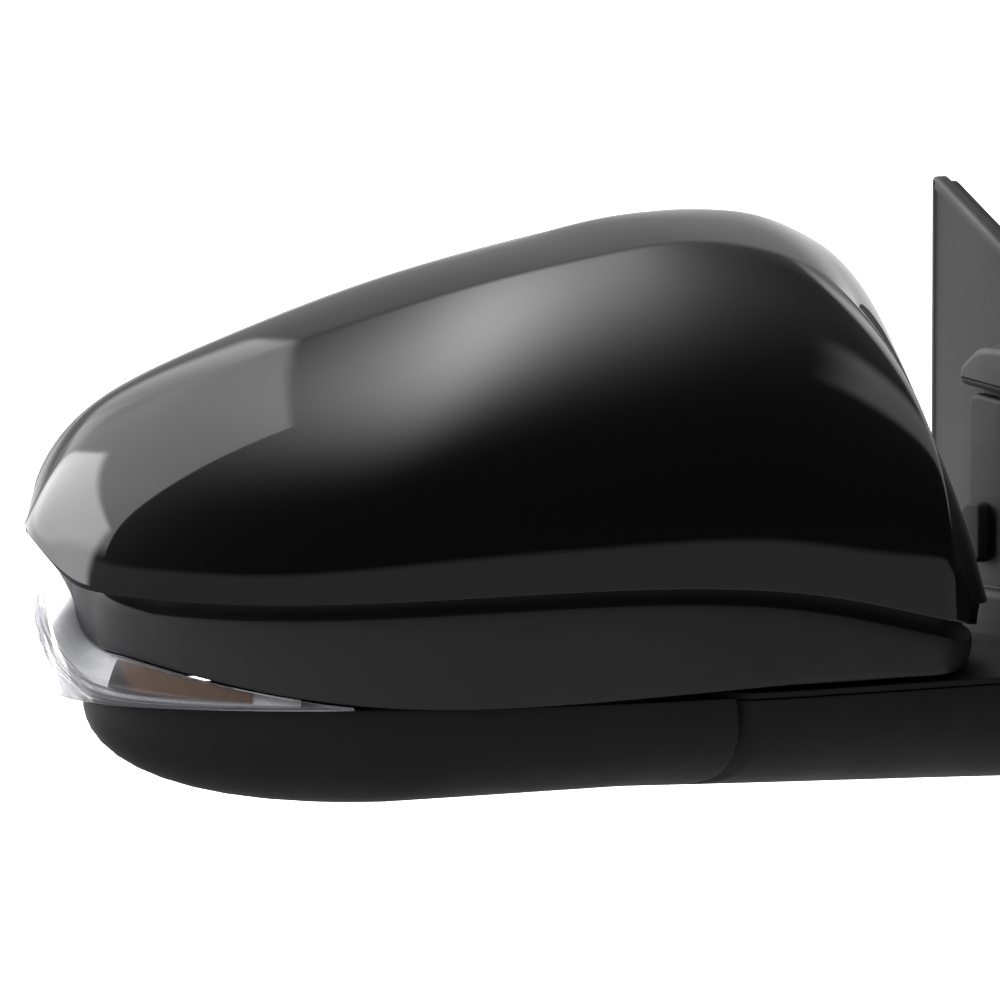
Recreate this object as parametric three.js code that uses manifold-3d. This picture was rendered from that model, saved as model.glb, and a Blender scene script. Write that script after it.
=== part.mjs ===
// Car door mirror, right-hand side: a folding head on a fixed foot, with an adjustable glass.
// Millimetres. +X runs inboard to the door, +Y rearward (the glass side), +Z up.
// The origin is the centre of the face that bolts to the door.
import * as THREE from 'three';
import { mergeVertices } from 'three/addons/utils/BufferGeometryUtils.js';
import Module from 'manifold-3d';

const wasm = await Module();
wasm.setup();

// ---------- driving sizes ----------
const GAP = 0.4;                    // air between pieces that touch
const REAR = 50;                    // Y of the head's rear edge
const CAP_WALL = 2.4;
const WALL = 2.2;                   // wall of the plastic covers
const PIVOT = { x: -105, y: 0 };    // vertical fold axis
const PARTING = -26.5;              // Z of the plane between the head and the foot
const SAIL_FACE = -14;              // X of the sail's outer face
const PLATE_THICK = 7;              // die-cast plate behind the sail
const GLASS = { x: -172, z: 22, front: 43.1, thick: 2.2, inset: 16 };
const ARM = 24;                     // distance from the tilt centre to each plunger

// ---------- small helpers ----------
const point = (x, y, z) => new THREE.Vector3(x, y, z);
const clamp = (value, low, high) => Math.min(high, Math.max(low, value));
const steps = (count) => Array.from({ length: count + 1 }, (unused, i) => i / count);
const mix = (a, b, t) => a + (b - a) * t;

// Natural cubic spline through rows of [parameter, value, value, ...].
function spline(rows) {
  const last = rows.length - 1;
  const width = rows[0].length - 1;
  const bends = rows.map(() => new Array(width).fill(0));
  for (let k = 0; k < width; k += 1) {
    const diagonal = new Array(last + 1).fill(1);
    const right = new Array(last + 1).fill(0);
    const ahead = new Array(last + 1).fill(0);
    for (let i = 1; i < last; i += 1) {
      const before = rows[i][0] - rows[i - 1][0];
      const after = rows[i + 1][0] - rows[i][0];
      const rise = (rows[i + 1][k + 1] - rows[i][k + 1]) / after;
      const fall = (rows[i][k + 1] - rows[i - 1][k + 1]) / before;
      const factor = i > 1 ? before / diagonal[i - 1] : 0;
      ahead[i] = after;
      diagonal[i] = 2 * (before + after) - factor * ahead[i - 1];
      right[i] = 6 * (rise - fall) - factor * right[i - 1];
    }
    for (let i = last - 1; i > 0; i -= 1) {
      bends[i][k] = (right[i] - ahead[i] * bends[i + 1][k]) / diagonal[i];
    }
  }
  return (t) => {
    let i = 0;
    while (i < last - 1 && t > rows[i + 1][0]) i += 1;
    const h = rows[i + 1][0] - rows[i][0];
    const b = (t - rows[i][0]) / h;
    const a = 1 - b;
    return rows[i].slice(1).map((value, k) => {
      const straight = a * value + b * rows[i + 1][k + 1];
      const curved = (a ** 3 - a) * bends[i][k] + (b ** 3 - b) * bends[i + 1][k];
      return straight + curved * h * h / 6;
    });
  };
}

// A closed spline: the list is wrapped by three knots at each end.
function loop(corners) {
  const count = corners.length;
  const wrapped = [];
  for (let i = -3; i <= count + 3; i += 1) {
    wrapped.push([i / count, ...corners[(i + count) % count]]);
  }
  return spline(wrapped);
}

// Turns a body of revolution made about Y so that it stands about Z.
const UPRIGHT = new THREE.Matrix4().makeRotationX(Math.PI / 2);

// ---------- turning geometry into solids and back ----------
function bare(geometry) {
  const loose = new THREE.BufferGeometry();
  loose.setAttribute('position', geometry.getAttribute('position').clone());
  if (geometry.index) loose.setIndex(geometry.index.clone());
  const merged = mergeVertices(loose, 0.001);
  const kept = [];
  const index = merged.index.array;
  for (let i = 0; i < index.length; i += 3) {
    const [a, b, c] = [index[i], index[i + 1], index[i + 2]];
    if (a !== b && b !== c && c !== a) kept.push(a, b, c);
  }
  merged.setIndex(kept);
  return merged;
}

function volume(geometry) {
  const p = geometry.getAttribute('position');
  const index = geometry.index.array;
  const [a, b, c] = [point(), point(), point()];
  let sum = 0;
  for (let i = 0; i < index.length; i += 3) {
    a.fromBufferAttribute(p, index[i]);
    b.fromBufferAttribute(p, index[i + 1]);
    c.fromBufferAttribute(p, index[i + 2]);
    sum += a.dot(b.cross(c)) / 6;
  }
  return sum;
}

function outward(geometry) {
  const closed = bare(geometry);
  if (volume(closed) < 0) {
    const index = closed.index.array;
    for (let i = 0; i < index.length; i += 3) {
      [index[i + 1], index[i + 2]] = [index[i + 2], index[i + 1]];
    }
  }
  return closed;
}

function toSolid(geometry) {
  const closed = outward(geometry);
  return new wasm.Manifold(new wasm.Mesh({
    numProp: 3,
    vertProperties: new Float32Array(closed.getAttribute('position').array),
    triVerts: new Uint32Array(closed.index.array),
  }));
}

function fromSolid(solid) {
  const mesh = solid.getMesh();
  const geometry = new THREE.BufferGeometry();
  geometry.setAttribute('position', new THREE.BufferAttribute(new Float32Array(mesh.vertProperties), 3));
  geometry.setIndex(Array.from(mesh.triVerts));
  return geometry;
}

function join(...pieces) {
  return fromSolid(pieces.map(toSolid).reduce((a, b) => a.add(b)));
}

function cut(body, ...tools) {
  return fromSolid(tools.map(toSolid).reduce((a, b) => a.subtract(b), toSolid(body)));
}

function common(body, tool) {
  return fromSolid(toSolid(body).intersect(toSolid(tool)));
}

// ---------- basic solids ----------
function block(x0, x1, y0, y1, z0, z1) {
  return new THREE.BoxGeometry(x1 - x0, y1 - y0, z1 - z0)
    .translate((x0 + x1) / 2, (y0 + y1) / 2, (z0 + z1) / 2);
}

function rod(radius, from, to, sides = 20) {
  const axis = to.clone().sub(from);
  const turn = new THREE.Quaternion().setFromUnitVectors(point(0, 1, 0), axis.clone().normalize());
  const middle = from.clone().add(to).multiplyScalar(0.5);
  return new THREE.CylinderGeometry(radius, radius, axis.length(), sides)
    .applyQuaternion(turn)
    .translate(middle.x, middle.y, middle.z);
}

// A turned body about the axis through base; the profile is [radius, height] pairs.
function turned(profile, base, axis, sides = 28) {
  const turn = new THREE.Quaternion().setFromUnitVectors(point(0, 1, 0), axis);
  return new THREE.LatheGeometry(profile.map(([r, h]) => new THREE.Vector2(r, h)), sides)
    .applyQuaternion(turn)
    .translate(base.x, base.y, base.z);
}

function ring(outer, inner, low, high) {
  return [[inner, low], [outer, low], [outer, high], [inner, high], [inner, low]];
}

function shapeOf(corners, holes = []) {
  const outline = corners.map(([a, b]) => new THREE.Vector2(a, b));
  if (THREE.ShapeUtils.isClockWise(outline)) outline.reverse();
  const shape = new THREE.Shape(outline);
  shape.holes = holes.map((hole) => new THREE.Path(hole.map(([a, b]) => new THREE.Vector2(a, b))));
  return shape;
}

const circle = (a, b, radius, sides = 20) => steps(sides).slice(0, sides).map((t) => [
  a + radius * Math.cos(t * 2 * Math.PI),
  b + radius * Math.sin(t * 2 * Math.PI),
]);

const extrude = (shape, depth) => new THREE.ExtrudeGeometry(shape, { depth, bevelEnabled: false });

// A plate lying flat: the outline is [x, y].
const flatPlate = (shape, low, high) => extrude(shape, high - low).translate(0, 0, low);

// A plate standing across the car: the outline is [x, z], from y0 to y1.
function wallPlate(shape, y0, y1) {
  const basis = new THREE.Matrix4().makeBasis(point(1, 0, 0), point(0, 0, 1), point(0, -1, 0));
  return extrude(shape, y1 - y0).applyMatrix4(basis).translate(0, y1, 0);
}

// A plate standing along the door: the outline is [y, z], from x0 to x1.
function doorPlate(shape, x0, x1) {
  const basis = new THREE.Matrix4().makeBasis(point(0, 1, 0), point(0, 0, 1), point(1, 0, 0));
  return extrude(shape, x1 - x0).applyMatrix4(basis).translate(x0, 0, 0);
}

// ---------- bodies made from grids of points ----------
function meshFromQuads(points, quads) {
  const geometry = new THREE.BufferGeometry();
  const flat = points.flatMap((p) => [p.x, p.y, p.z]);
  const index = quads.flatMap(([a, b, c, d]) => [a, b, c, a, c, d]);
  geometry.setAttribute('position', new THREE.Float32BufferAttribute(flat, 3));
  geometry.setIndex(index);
  return outward(geometry);
}

// A sheet with thickness: two open grids of the same size, joined round their rim.
function shell(outer, inner) {
  const rows = outer.length;
  const columns = outer[0].length;
  const points = [...outer.flat(), ...inner.flat()];
  const far = rows * columns;
  const at = (i, j) => i * columns + j;
  const quads = [];
  for (let i = 0; i < rows - 1; i += 1) {
    for (let j = 0; j < columns - 1; j += 1) {
      quads.push([at(i, j), at(i + 1, j), at(i + 1, j + 1), at(i, j + 1)]);
      quads.push([far + at(i, j + 1), far + at(i + 1, j + 1), far + at(i + 1, j), far + at(i, j)]);
    }
  }
  for (let i = 0; i < rows - 1; i += 1) {
    quads.push([at(i + 1, 0), at(i, 0), far + at(i, 0), far + at(i + 1, 0)]);
    quads.push([at(i, columns - 1), at(i + 1, columns - 1), far + at(i + 1, columns - 1), far + at(i, columns - 1)]);
  }
  for (let j = 0; j < columns - 1; j += 1) {
    quads.push([at(0, j), at(0, j + 1), far + at(0, j + 1), far + at(0, j)]);
    quads.push([at(rows - 1, j + 1), at(rows - 1, j), far + at(rows - 1, j), far + at(rows - 1, j + 1)]);
  }
  return meshFromQuads(points, quads);
}

// A body through closed loops of the same count; the first and last are closed with a fan.
function stack(loops) {
  const count = loops[0].length;
  const points = loops.flat();
  const quads = [];
  for (let k = 0; k < loops.length - 1; k += 1) {
    for (let j = 0; j < count; j += 1) {
      const next = (j + 1) % count;
      quads.push([k * count + j, k * count + next, (k + 1) * count + next, (k + 1) * count + j]);
    }
  }
  const middle = (list) => list.reduce((sum, p) => sum.add(p), point(0, 0, 0)).divideScalar(list.length);
  const first = points.push(middle(loops[0])) - 1;
  const last = points.push(middle(loops[loops.length - 1])) - 1;
  const end = (loops.length - 1) * count;
  for (let j = 0; j < count; j += 1) {
    const next = (j + 1) % count;
    quads.push([first, next, j, j]);
    quads.push([last, end + j, end + next, end + next]);
  }
  return meshFromQuads(points, quads);
}

// A ring-shaped body: closed loops whose last joins back to the first.
function torus(loops) {
  const count = loops[0].length;
  const quads = [];
  loops.forEach((unused, k) => {
    const up = (k + 1) % loops.length;
    for (let j = 0; j < count; j += 1) {
      const next = (j + 1) % count;
      quads.push([k * count + j, k * count + next, up * count + next, up * count + j]);
    }
  });
  return meshFromQuads(loops.flat(), quads);
}

// ---------- outlines of the head ----------
// Plan of the cap's lower edge, from the rear at the tip round the front to the rear at the
// door side: [knot, x, y, height of the cap's edge, height of the band's lower edge].
const planRail = spline([
  [0, -307, REAR, 13, 6],
  [1, -316, 31, 14.5, -3],
  [2, -313, 17, 5, -13],
  [3, -306, 5, 0.5, -15.5],
  [4, -282, -17, -1.5, -22.6],
  [5, -242, -38, -1, -28.5],
  [6, -192, -53, 0.5, -28],
  [7, -142, -60, -2, PARTING + GAP],
  [8, -104, -61, -9.5, PARTING + GAP],
  [9, -84, -57, -13.5, PARTING + GAP],
  [10, -61, -31, -15.7, PARTING + GAP],
  [11, -46, 0, -15, PARTING + GAP],
  [12, -38.5, REAR, -14, PARTING + GAP],
]);
const PLAN_END = 12;

// Crease and rear edge of the cap: [knot, crease x, y, z, rear edge x, z].
const creaseRail = spline([
  [1, -315.5, 33, 17, -307, 16],
  [1.6, -309.5, 34.5, 26, -303.5, 27],
  [2.3, -300, 34.5, 36, -294, 40],
  [3.2, -283, 30.5, 46, -279, 50],
  [4.2, -254, 21, 58.5, -250, 61.5],
  [5, -211, 9, 72.5, -205, 75.7],
  [6, -164, 1, 83, -158, 86.3],
  [7, -130, -4, 85.8, -122, 92.3],
  [7.6, -107, -8, 80.3, -92, 92.2],
  [8.1, -93.5, -14, 68, -68, 85],
  [8.4, -97, -26, 54, -50, 70],
  [8.6, -98, -40, 35, -42, 48],
  [8.8, -92.5, -53, 13.5, -39, 20],
  [9, -84, -57, -8, -38.5, -13],
]);
// How far the front face and the roof band swell from a straight line between their edges:
// [knot, face x, y, z, band x, y, z].
const crownRail = spline([
  [1, 0, 0, 0, 0, 0, 0],
  [2.3, -5, -7, 3.5, -1, 0, 1],
  [3.2, -6, -15, 6.5, -1, 0, 2],
  [4.2, -5, -24, 9, 0, 0, 2.5],
  [5, -3, -31, 10, 0, 0, 2.5],
  [6, 0, -36, 10.5, 0, 0, 2.5],
  [7, 2, -38, 10, 1, 0, 3],
  [7.6, 3, -37, 10, 1, 0, 3],
  [8.1, 2, -36, 8, 2, -1, 3.5],
  [8.4, 1, -28, 6, 5, -5, 4],
  [8.6, 0, -16, 4, 10, -11, 3],
  [8.8, 0, -6, 2, 12, -19, 1],
  [9, 0, -1, 0, 12, -25, 0],
]);
const CAP_FIRST = 1;
const CAP_LAST = 9;

// Outline of the head seen from behind, at its rear edge: [x, z].
const rearOutline = loop([
  [-297, 3], [-304.5, 17], [-300, 33], [-283, 48], [-250, 61.5], [-205, 75.7], [-160, 86],
  [-122, 92.3], [-92, 92.2], [-66, 84], [-49, 68], [-41, 48], [-38.5, 20], [-39, -6], [-46, -21],
  [-64, -26.1], [-120, -26.1], [-200, -27.4], [-270, -28], [-284, -24.5], [-291, -12],
]);

// Moves a point of the outer skin inward, towards a line down the middle of the head.
function inward(p, distance) {
  const core = point(clamp(p.x, -272, -92), 45, 20);
  return p.clone().add(core.sub(p).setLength(distance));
}

// Moves a plan point inward by the outline's own normal.
function planPoint(knot, inset, z) {
  const [x, y] = planRail(knot);
  const [x0, y0] = planRail(Math.max(0, knot - 0.02));
  const [x1, y1] = planRail(Math.min(PLAN_END, knot + 0.02));
  const along = Math.hypot(x1 - x0, y1 - y0);
  return point(x - (y1 - y0) / along * inset, y + (x1 - x0) / along * inset, z);
}

function rearLoop(inset, y, count = 56) {
  return steps(count).slice(0, count).map((t) => {
    const [x, z] = rearOutline(t);
    const edge = new THREE.Vector2(x, z);
    const near = clamp(x, -258, -92);
    const core = new THREE.Vector2(near, mix(13, 33, (near + 258) / 166));
    edge.add(core.sub(edge).setLength(inset));
    return point(edge.x, y, edge.y);
  });
}

// ---------- painted cap ----------
function capSurface(knot, t) {
  const [ax, ay, az] = planRail(knot);
  const [kx, ky, kz, rx, rz] = creaseRail(knot);
  const [fx, fy, fz, bx, by, bz] = crownRail(knot);
  const lower = point(ax, ay, az);
  const crease = point(kx, ky, kz);
  const rear = point(rx, REAR, rz);
  const [from, to, swell, s] = t < 1
    ? [lower, crease, point(fx, fy, fz), t]
    : [crease, rear, point(bx, by, bz), t - 1];
  return from.clone().lerp(to, s).addScaledVector(swell, 2 * s * (1 - s));
}

function makeCap() {
  const across = [...steps(8).slice(0, 8), ...steps(4).map((t) => 1 + t)];
  const outer = steps(38).map((t) => across.map((s) => capSurface(mix(CAP_FIRST, CAP_LAST, t), s)));
  const inner = outer.map((row) => row.map((p) => inward(p, CAP_WALL)));
  return shell(outer, inner);
}

// ---------- lower half of the head ----------
const BAND_LAP = 5;                 // how far the band reaches up behind the cap
// Inset of the band from the cap's edge, and of the lamp's ledge, with the ledge's height:
// [knot, band inset, ledge inset, ledge z].
const lowerRail = spline([
  [0, 5.5, 3.5, -1],
  [1, 11, 2.3, -9],
  [2, 10, 1, -19],
  [3, 7.5, 1.2, -25.5],
  [4, 5.2, 4.4, -27.3],
  [5, 4.4, 4.2, -27.8],
  [6, 4.2, 4, -28],
  [9, 4.8, 4, -28],
  [12, 5.2, 4, -28],
]);

function bandRow(knot, extra) {
  const [, , capEdge, lower] = planRail(knot);
  const [inset] = lowerRail(knot);
  const top = planPoint(knot, inset + 1.2 + extra, capEdge + BAND_LAP);
  const middle = planPoint(knot, inset + extra, Math.max(capEdge - 1, lower + 1));
  const bottom = planPoint(knot, inset + 1 + extra, lower);
  return [top, middle, middle.clone().lerp(bottom, 0.5), bottom];
}

const FLOOR = { low: PARTING + GAP, high: PARTING + 2.4, start: 6.2, back: 47 };
const BOSS = 24;                    // radius of the frame's turning boss

function makeBand() {
  const knots = steps(44).map((t) => t * (PLAN_END - 0.1));
  const skirt = shell(knots.map((k) => bandRow(k, 0)), knots.map((k) => bandRow(k, WALL)));
  const edge = steps(14).map((t) => planPoint(mix(FLOOR.start, PLAN_END - 0.15, t), 6.2, 0));
  const outline = edge.map((p) => [p.x, p.y]);
  outline.push([outline[0][0], FLOOR.back]);
  const hole = circle(PIVOT.x, PIVOT.y, BOSS + 1.5, 32);
  return join(skirt, flatPlate(shapeOf(outline, [hole]), FLOOR.low, FLOOR.high));
}

// ---------- turn-signal lamp at the tip ----------
const LAMP_START = 0.15;
const LAMP_END = 4.7;
const LAMP_LOW = -28.6;

// A point of the lamp's front: t = 0 at its upper edge, 0.5 on the ledge, 1 at its lower edge.
function lampPoint(knot, t, depth) {
  const [, , , upper] = planRail(knot);
  const [band, ledge, ledgeZ] = lowerRail(knot);
  const top = planPoint(knot, band + 1 + depth, upper - 0.6);
  const edge = planPoint(knot, ledge + depth, Math.min(ledgeZ, upper - 1));
  const bottom = planPoint(knot, band + 1 + depth, LAMP_LOW);
  const [from, to, s] = t < 0.5 ? [top, edge, 2 * t] : [edge, bottom, 2 * t - 1];
  const swell = planPoint(knot, ledge + depth, 0).sub(planPoint(knot, band + depth, 0));
  return from.clone().lerp(to, s).addScaledVector(swell, 0.5 * s * (1 - s));
}

// A sheet of the lamp between two knots, and between two places across its front.
function lampSheet(first, last, from, to, depth, thick, columns = 16) {
  const knots = steps(columns).map((t) => mix(first, last, t));
  const across = steps(4).map((t) => mix(from, to, t));
  const skin = (d) => knots.map((k) => across.map((t) => lampPoint(k, t, d)));
  return shell(skin(depth), skin(depth + thick));
}

// ---------- rear bezel round the glass ----------
const BEZEL = { front: REAR + GAP, back: 55, sleeve: 45, lip: 11 };

function makeBezel() {
  const section = [
    [0.4, BEZEL.front],
    [0.5, BEZEL.back - 2],
    [2.2, BEZEL.back],
    [5.5, BEZEL.back],
    [BEZEL.lip, BEZEL.back - 2.5],
    [BEZEL.lip + 0.4, BEZEL.sleeve],
    [BEZEL.lip - 1.6, BEZEL.sleeve],
    [BEZEL.lip - 2, BEZEL.front],
  ];
  return torus(section.map(([inset, y]) => rearLoop(inset, y)));
}

// ---------- hull shared by the lower cover and the foot ----------
const HULL_TOP = PARTING - 1.3;
const HULL_DEPTH = 28;
const HULL_LEVEL = -170;            // inboard of this X the keel runs down towards the door
const HULL_SLOPE = 0.045;
const hullOutline = loop([
  [-300, 32], [-299, 14], [-277, -10], [-238, -31], [-190, -46], [-142, -53], [-104, -55],
  [-70, -56], [-40, -60], [-14, -68], [12, -78], [20, -20], [12, 54], [-14, 49], [-50, 47.5],
  [-100, 48.5], [-170, 49], [-240, 49.5], [-284, 48],
]);

// One loop of the hull: angle 0 at the upper rim, 90 degrees at the keel.
function hullLoop(degrees, inset, lift) {
  const angle = THREE.MathUtils.degToRad(degrees);
  const reach = Math.cos(angle) ** 0.85;
  const drop = Math.sin(angle) ** 0.85;
  return steps(44).slice(0, 44).map((t) => {
    const [x, y] = hullOutline(t);
    const rim = new THREE.Vector2(x, y);
    const core = new THREE.Vector2(clamp(x, -235, 20), 0);
    const out = rim.clone().sub(core);
    out.setLength(Math.max(0.5, out.length() - inset)).multiplyScalar(reach).add(core);
    const depth = HULL_DEPTH + Math.max(0, (x - HULL_LEVEL) * HULL_SLOPE) - inset;
    return point(out.x, out.y, HULL_TOP - depth * drop + lift);
  });
}

function hullBody(inset, lift) {
  const rings = [0, 15, 30, 45, 60, 75, 85].map((a) => hullLoop(a, inset, 0));
  const top = hullLoop(0, inset, lift);
  return stack(lift > 0 ? [top, ...rings] : rings);
}

// The bowl round the fold axis that parts the foot from the lower cover.
function bowl(grow) {
  const profile = [[0, -72], [30, -72], [44, -60], [53, -53], [61, -47], [67, -39], [70, -29], [70, -18], [0, -18]];
  const grown = profile.map(([r, z]) => [r > 0 ? r + grow : 0, z]);
  return turned(grown, point(0, 0, 0), point(0, 1, 0), 44)
    .applyMatrix4(UPRIGHT).translate(PIVOT.x, PIVOT.y, 0);
}

const SPLIT = 1.1;                  // half the gap between foot and lower cover
const COVER_TOP = -28.9;

function makeLowerCover() {
  const hollow = cut(hullBody(WALL, 5), bowl(SPLIT + WALL));
  const inboardSide = block(-100, 40, -90, 70, -80, 0);
  const above = block(-320, 0, -90, 70, COVER_TOP, 0);
  return cut(hullBody(0, 0), hollow, bowl(SPLIT), inboardSide, above);
}

// The foot's share of a body: everything inside the bowl, and the neck up to the sail.
function footPart(solid, wall) {
  const neck = block(-101, SAIL_FACE - GAP + 4 * wall, -90, 70, -80, 10);
  return common(solid, join(neck, bowl(-SPLIT - wall)));
}

function makeFootCover() {
  const hollow = footPart(hullBody(WALL, 5), WALL);
  return cut(footPart(hullBody(0, 0), 0), hollow, block(-200, 40, -90, 70, HULL_TOP - 2, 10));
}

function makeFootTop() {
  const slab = footPart(common(hullBody(0, 0), block(-200, 40, -90, 70, HULL_TOP - 2 + GAP, 0)), 0);
  return cut(slab, rod(29, point(PIVOT.x, PIVOT.y, -60), point(PIVOT.x, PIVOT.y, 0), 36));
}

// ---------- sail, seal and bracket ----------
// Corners of the sail's outline, anticlockwise: [y, z].
const sailCorners = [[66, -64], [67, 101.5], [31, 81], [-22, 48], [-72, 6], [-112, -36], [-122, -64]];

// The outline moved inward, its sharp corners rounded.
function sailOutline(inset) {
  const count = sailCorners.length;
  const edge = (i) => {
    const from = new THREE.Vector2(...sailCorners[i % count]);
    return new THREE.Vector2(...sailCorners[(i + 1) % count]).sub(from).normalize();
  };
  const moved = sailCorners.map((corner, i) => {
    const before = edge(i + count - 1);
    const after = edge(i);
    const inner = new THREE.Vector2(-before.y - after.y, before.x + after.x).normalize();
    const half = Math.sqrt((1 + before.dot(after)) / 2);
    return new THREE.Vector2(...corner).addScaledVector(inner, inset / half);
  });
  return moved.flatMap((corner, i) => {
    const back = moved[(i + count - 1) % count].clone().sub(corner);
    const on = moved[(i + 1) % count].clone().sub(corner);
    back.setLength(Math.min(4, back.length() * 0.4));
    on.setLength(Math.min(4, on.length() * 0.4));
    const curve = new THREE.QuadraticBezierCurve(corner.clone().add(back), corner, corner.clone().add(on));
    return curve.getPoints(4).map((p) => [p.x, p.y]);
  });
}

const ARM_Y = 17;                   // half width of the bracket's arm
const ARM_LOW = -49;
const ARM_HIGH = -36;
const SAIL_THICK = 4;
const STUDS = [[-72, -32], [36, -34], [36, 48]];
const INLET = { y: 0, z: -18, radius: 8 };

function makeSail() {
  const face = doorPlate(shapeOf(sailOutline(0)), SAIL_FACE, SAIL_FACE + SAIL_THICK);
  const hood = doorPlate(shapeOf([[45, 42], [45, 47], [36, 53], [10, 53], [-14, 44], [-14, 36]]), -19.5, -13);
  const column = doorPlate(shapeOf([[44, -40], [44, 40], [-14, 34], [-60, -10], [-66, -40]]), -16.5, -13);
  const root = doorPlate(shapeOf([[50, -26.2], [47, -15], [-50, -15], [-60, -26.2]]), -20, -13);
  const solid = join(face, hood, column, root);
  const passage = block(-30, 0, -ARM_Y - 3, ARM_Y + 3, ARM_LOW - 3, ARM_HIGH + 5);
  return cut(solid, passage, block(-30, SAIL_FACE - 0.2, -90, 60, -70, -26));
}

// Rubber buffer on the sail's column, that the head comes up against when it folds.
function makeBuffer() {
  const pad = [[33, -8], [40, -8], [43, -5], [43, 6], [40, 9], [33, 9]];
  return doorPlate(shapeOf(pad), -20, -16.5 - GAP);
}

function makeGasket() {
  const lip = shapeOf(sailOutline(0.8), [sailOutline(9)]);
  const wall = shapeOf(sailOutline(8), [sailOutline(13.6)]);
  return join(doorPlate(lip, SAIL_FACE + SAIL_THICK + GAP, -7), doorPlate(wall, -8, -0.3));
}

function makeBracket() {
  const plate = doorPlate(shapeOf(sailOutline(14)), -PLATE_THICK, 0);
  const arm = block(PIVOT.x + 20, -PLATE_THICK + 1, -ARM_Y, ARM_Y, ARM_LOW, ARM_HIGH);
  const rib = block(-60, -PLATE_THICK + 1, -3, 3, ARM_HIGH - 1, ARM_HIGH + 4);
  const seat = rod(29, point(PIVOT.x, PIVOT.y, -46), point(PIVOT.x, PIVOT.y, -34), 36);
  const bore = rod(12.5, point(PIVOT.x, PIVOT.y, -60), point(PIVOT.x, PIVOT.y, 0), 28);
  const lightening = block(-78, -26, -10, 10, ARM_LOW - 1, ARM_HIGH - 4);
  const studHoles = STUDS.map(([y, z]) => rod(3.4, point(-20, y, z), point(5, y, z), 16));
  const inlet = rod(INLET.radius, point(-20, INLET.y, INLET.z), point(5, INLET.y, INLET.z), 20);
  return cut(join(plate, arm, rib, seat), bore, lightening, inlet, ...studHoles);
}

function makeStud([y, z]) {
  const profile = [[0, -9.4], [5.6, -9.4], [5.6, -7.4], [3, -7.4], [3, 17], [2.2, 18], [0, 18]];
  return turned(profile, point(0, y, z), point(1, 0, 0), 10);
}

function makeGrommet() {
  const profile = [[4, -9.2], [10.5, -9.2], [10.5, -7.4], [7.6, -7.4], [7.6, 2], [6.4, 6], [4, 6], [4, -9.2]];
  return turned(profile, point(0, INLET.y, INLET.z), point(1, 0, 0), 20);
}

// ---------- fold joint ----------
const POST = { outer: 12, inner: 8, low: -50, high: 36 };
const BOSS_TOP = -6;

const upright = (profile, sides) => turned(profile, point(0, 0, 0), point(0, 1, 0), sides)
  .applyMatrix4(UPRIGHT).translate(PIVOT.x, PIVOT.y, 0);

function makePost() {
  return upright([
    [POST.inner, POST.low], [18, POST.low], [18, -46.4], [POST.outer, -46.4],
    [POST.outer, POST.high], [POST.inner, POST.high], [POST.inner, POST.low],
  ], 28);
}

function makeDetent() {
  const bumps = [0, 90, 180, 270].map((degrees) => block(15, 25, -3, 3, -30, -27.3)
    .rotateZ(THREE.MathUtils.degToRad(degrees + 45)).translate(PIVOT.x, PIVOT.y, 0));
  return join(upright(ring(26.5, 12.5, -33.6, -28.8), 36), ...bumps);
}

class Coil extends THREE.Curve {
  constructor(radius, low, high, turns) {
    super();
    Object.assign(this, { radius, low, high, turns });
  }

  getPoint(t) {
    const angle = t * this.turns * 2 * Math.PI;
    const rise = clamp((t - 0.12) / 0.76, 0, 1);
    return point(
      PIVOT.x + this.radius * Math.cos(angle),
      PIVOT.y + this.radius * Math.sin(angle),
      mix(this.low, this.high, rise) + (t < 0.12 ? (t - 0.12) * 8 : 0) + (t > 0.88 ? (t - 0.88) * 8 : 0),
    );
  }
}

function makeSpring() {
  const wire = shapeOf(circle(0, 0, 1.5, 6));
  const path = new Coil(15.2, BOSS_TOP + 3.2, 26.5, 5);
  return new THREE.ExtrudeGeometry(wire, { steps: 64, bevelEnabled: false, extrudePath: path });
}

function makeRetainer() {
  return upright([[12.4, 30], [19, 30], [19, 32], [15, 33.5], [12.4, 33.5], [12.4, 30]], 28);
}

// ---------- frame and glass actuator ----------
const FRAME = { front: 13, back: 16.5 };
const UNIT = { x: GLASS.x, z: GLASS.z, halfX: 37, halfZ: 37, base: 17, deck: 19.2, front: 31.5 };
const EARS = [[-42, 24], [-42, -24], [42, 0]];
const TILT = point(GLASS.x, 37, GLASS.z);
const PLUNGERS = [[GLASS.x, GLASS.z + ARM], [GLASS.x - ARM, GLASS.z]];

function roundedBox(halfX, halfZ, radius) {
  const corners = [[1, 1, 0], [-1, 1, 90], [-1, -1, 180], [1, -1, 270]];
  return corners.flatMap(([sx, sz, start]) => steps(4).map((t) => {
    const angle = THREE.MathUtils.degToRad(start + 90 * t);
    return [
      UNIT.x + sx * (halfX - radius) + radius * Math.cos(angle),
      UNIT.z + sz * (halfZ - radius) + radius * Math.sin(angle),
    ];
  }));
}

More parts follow.
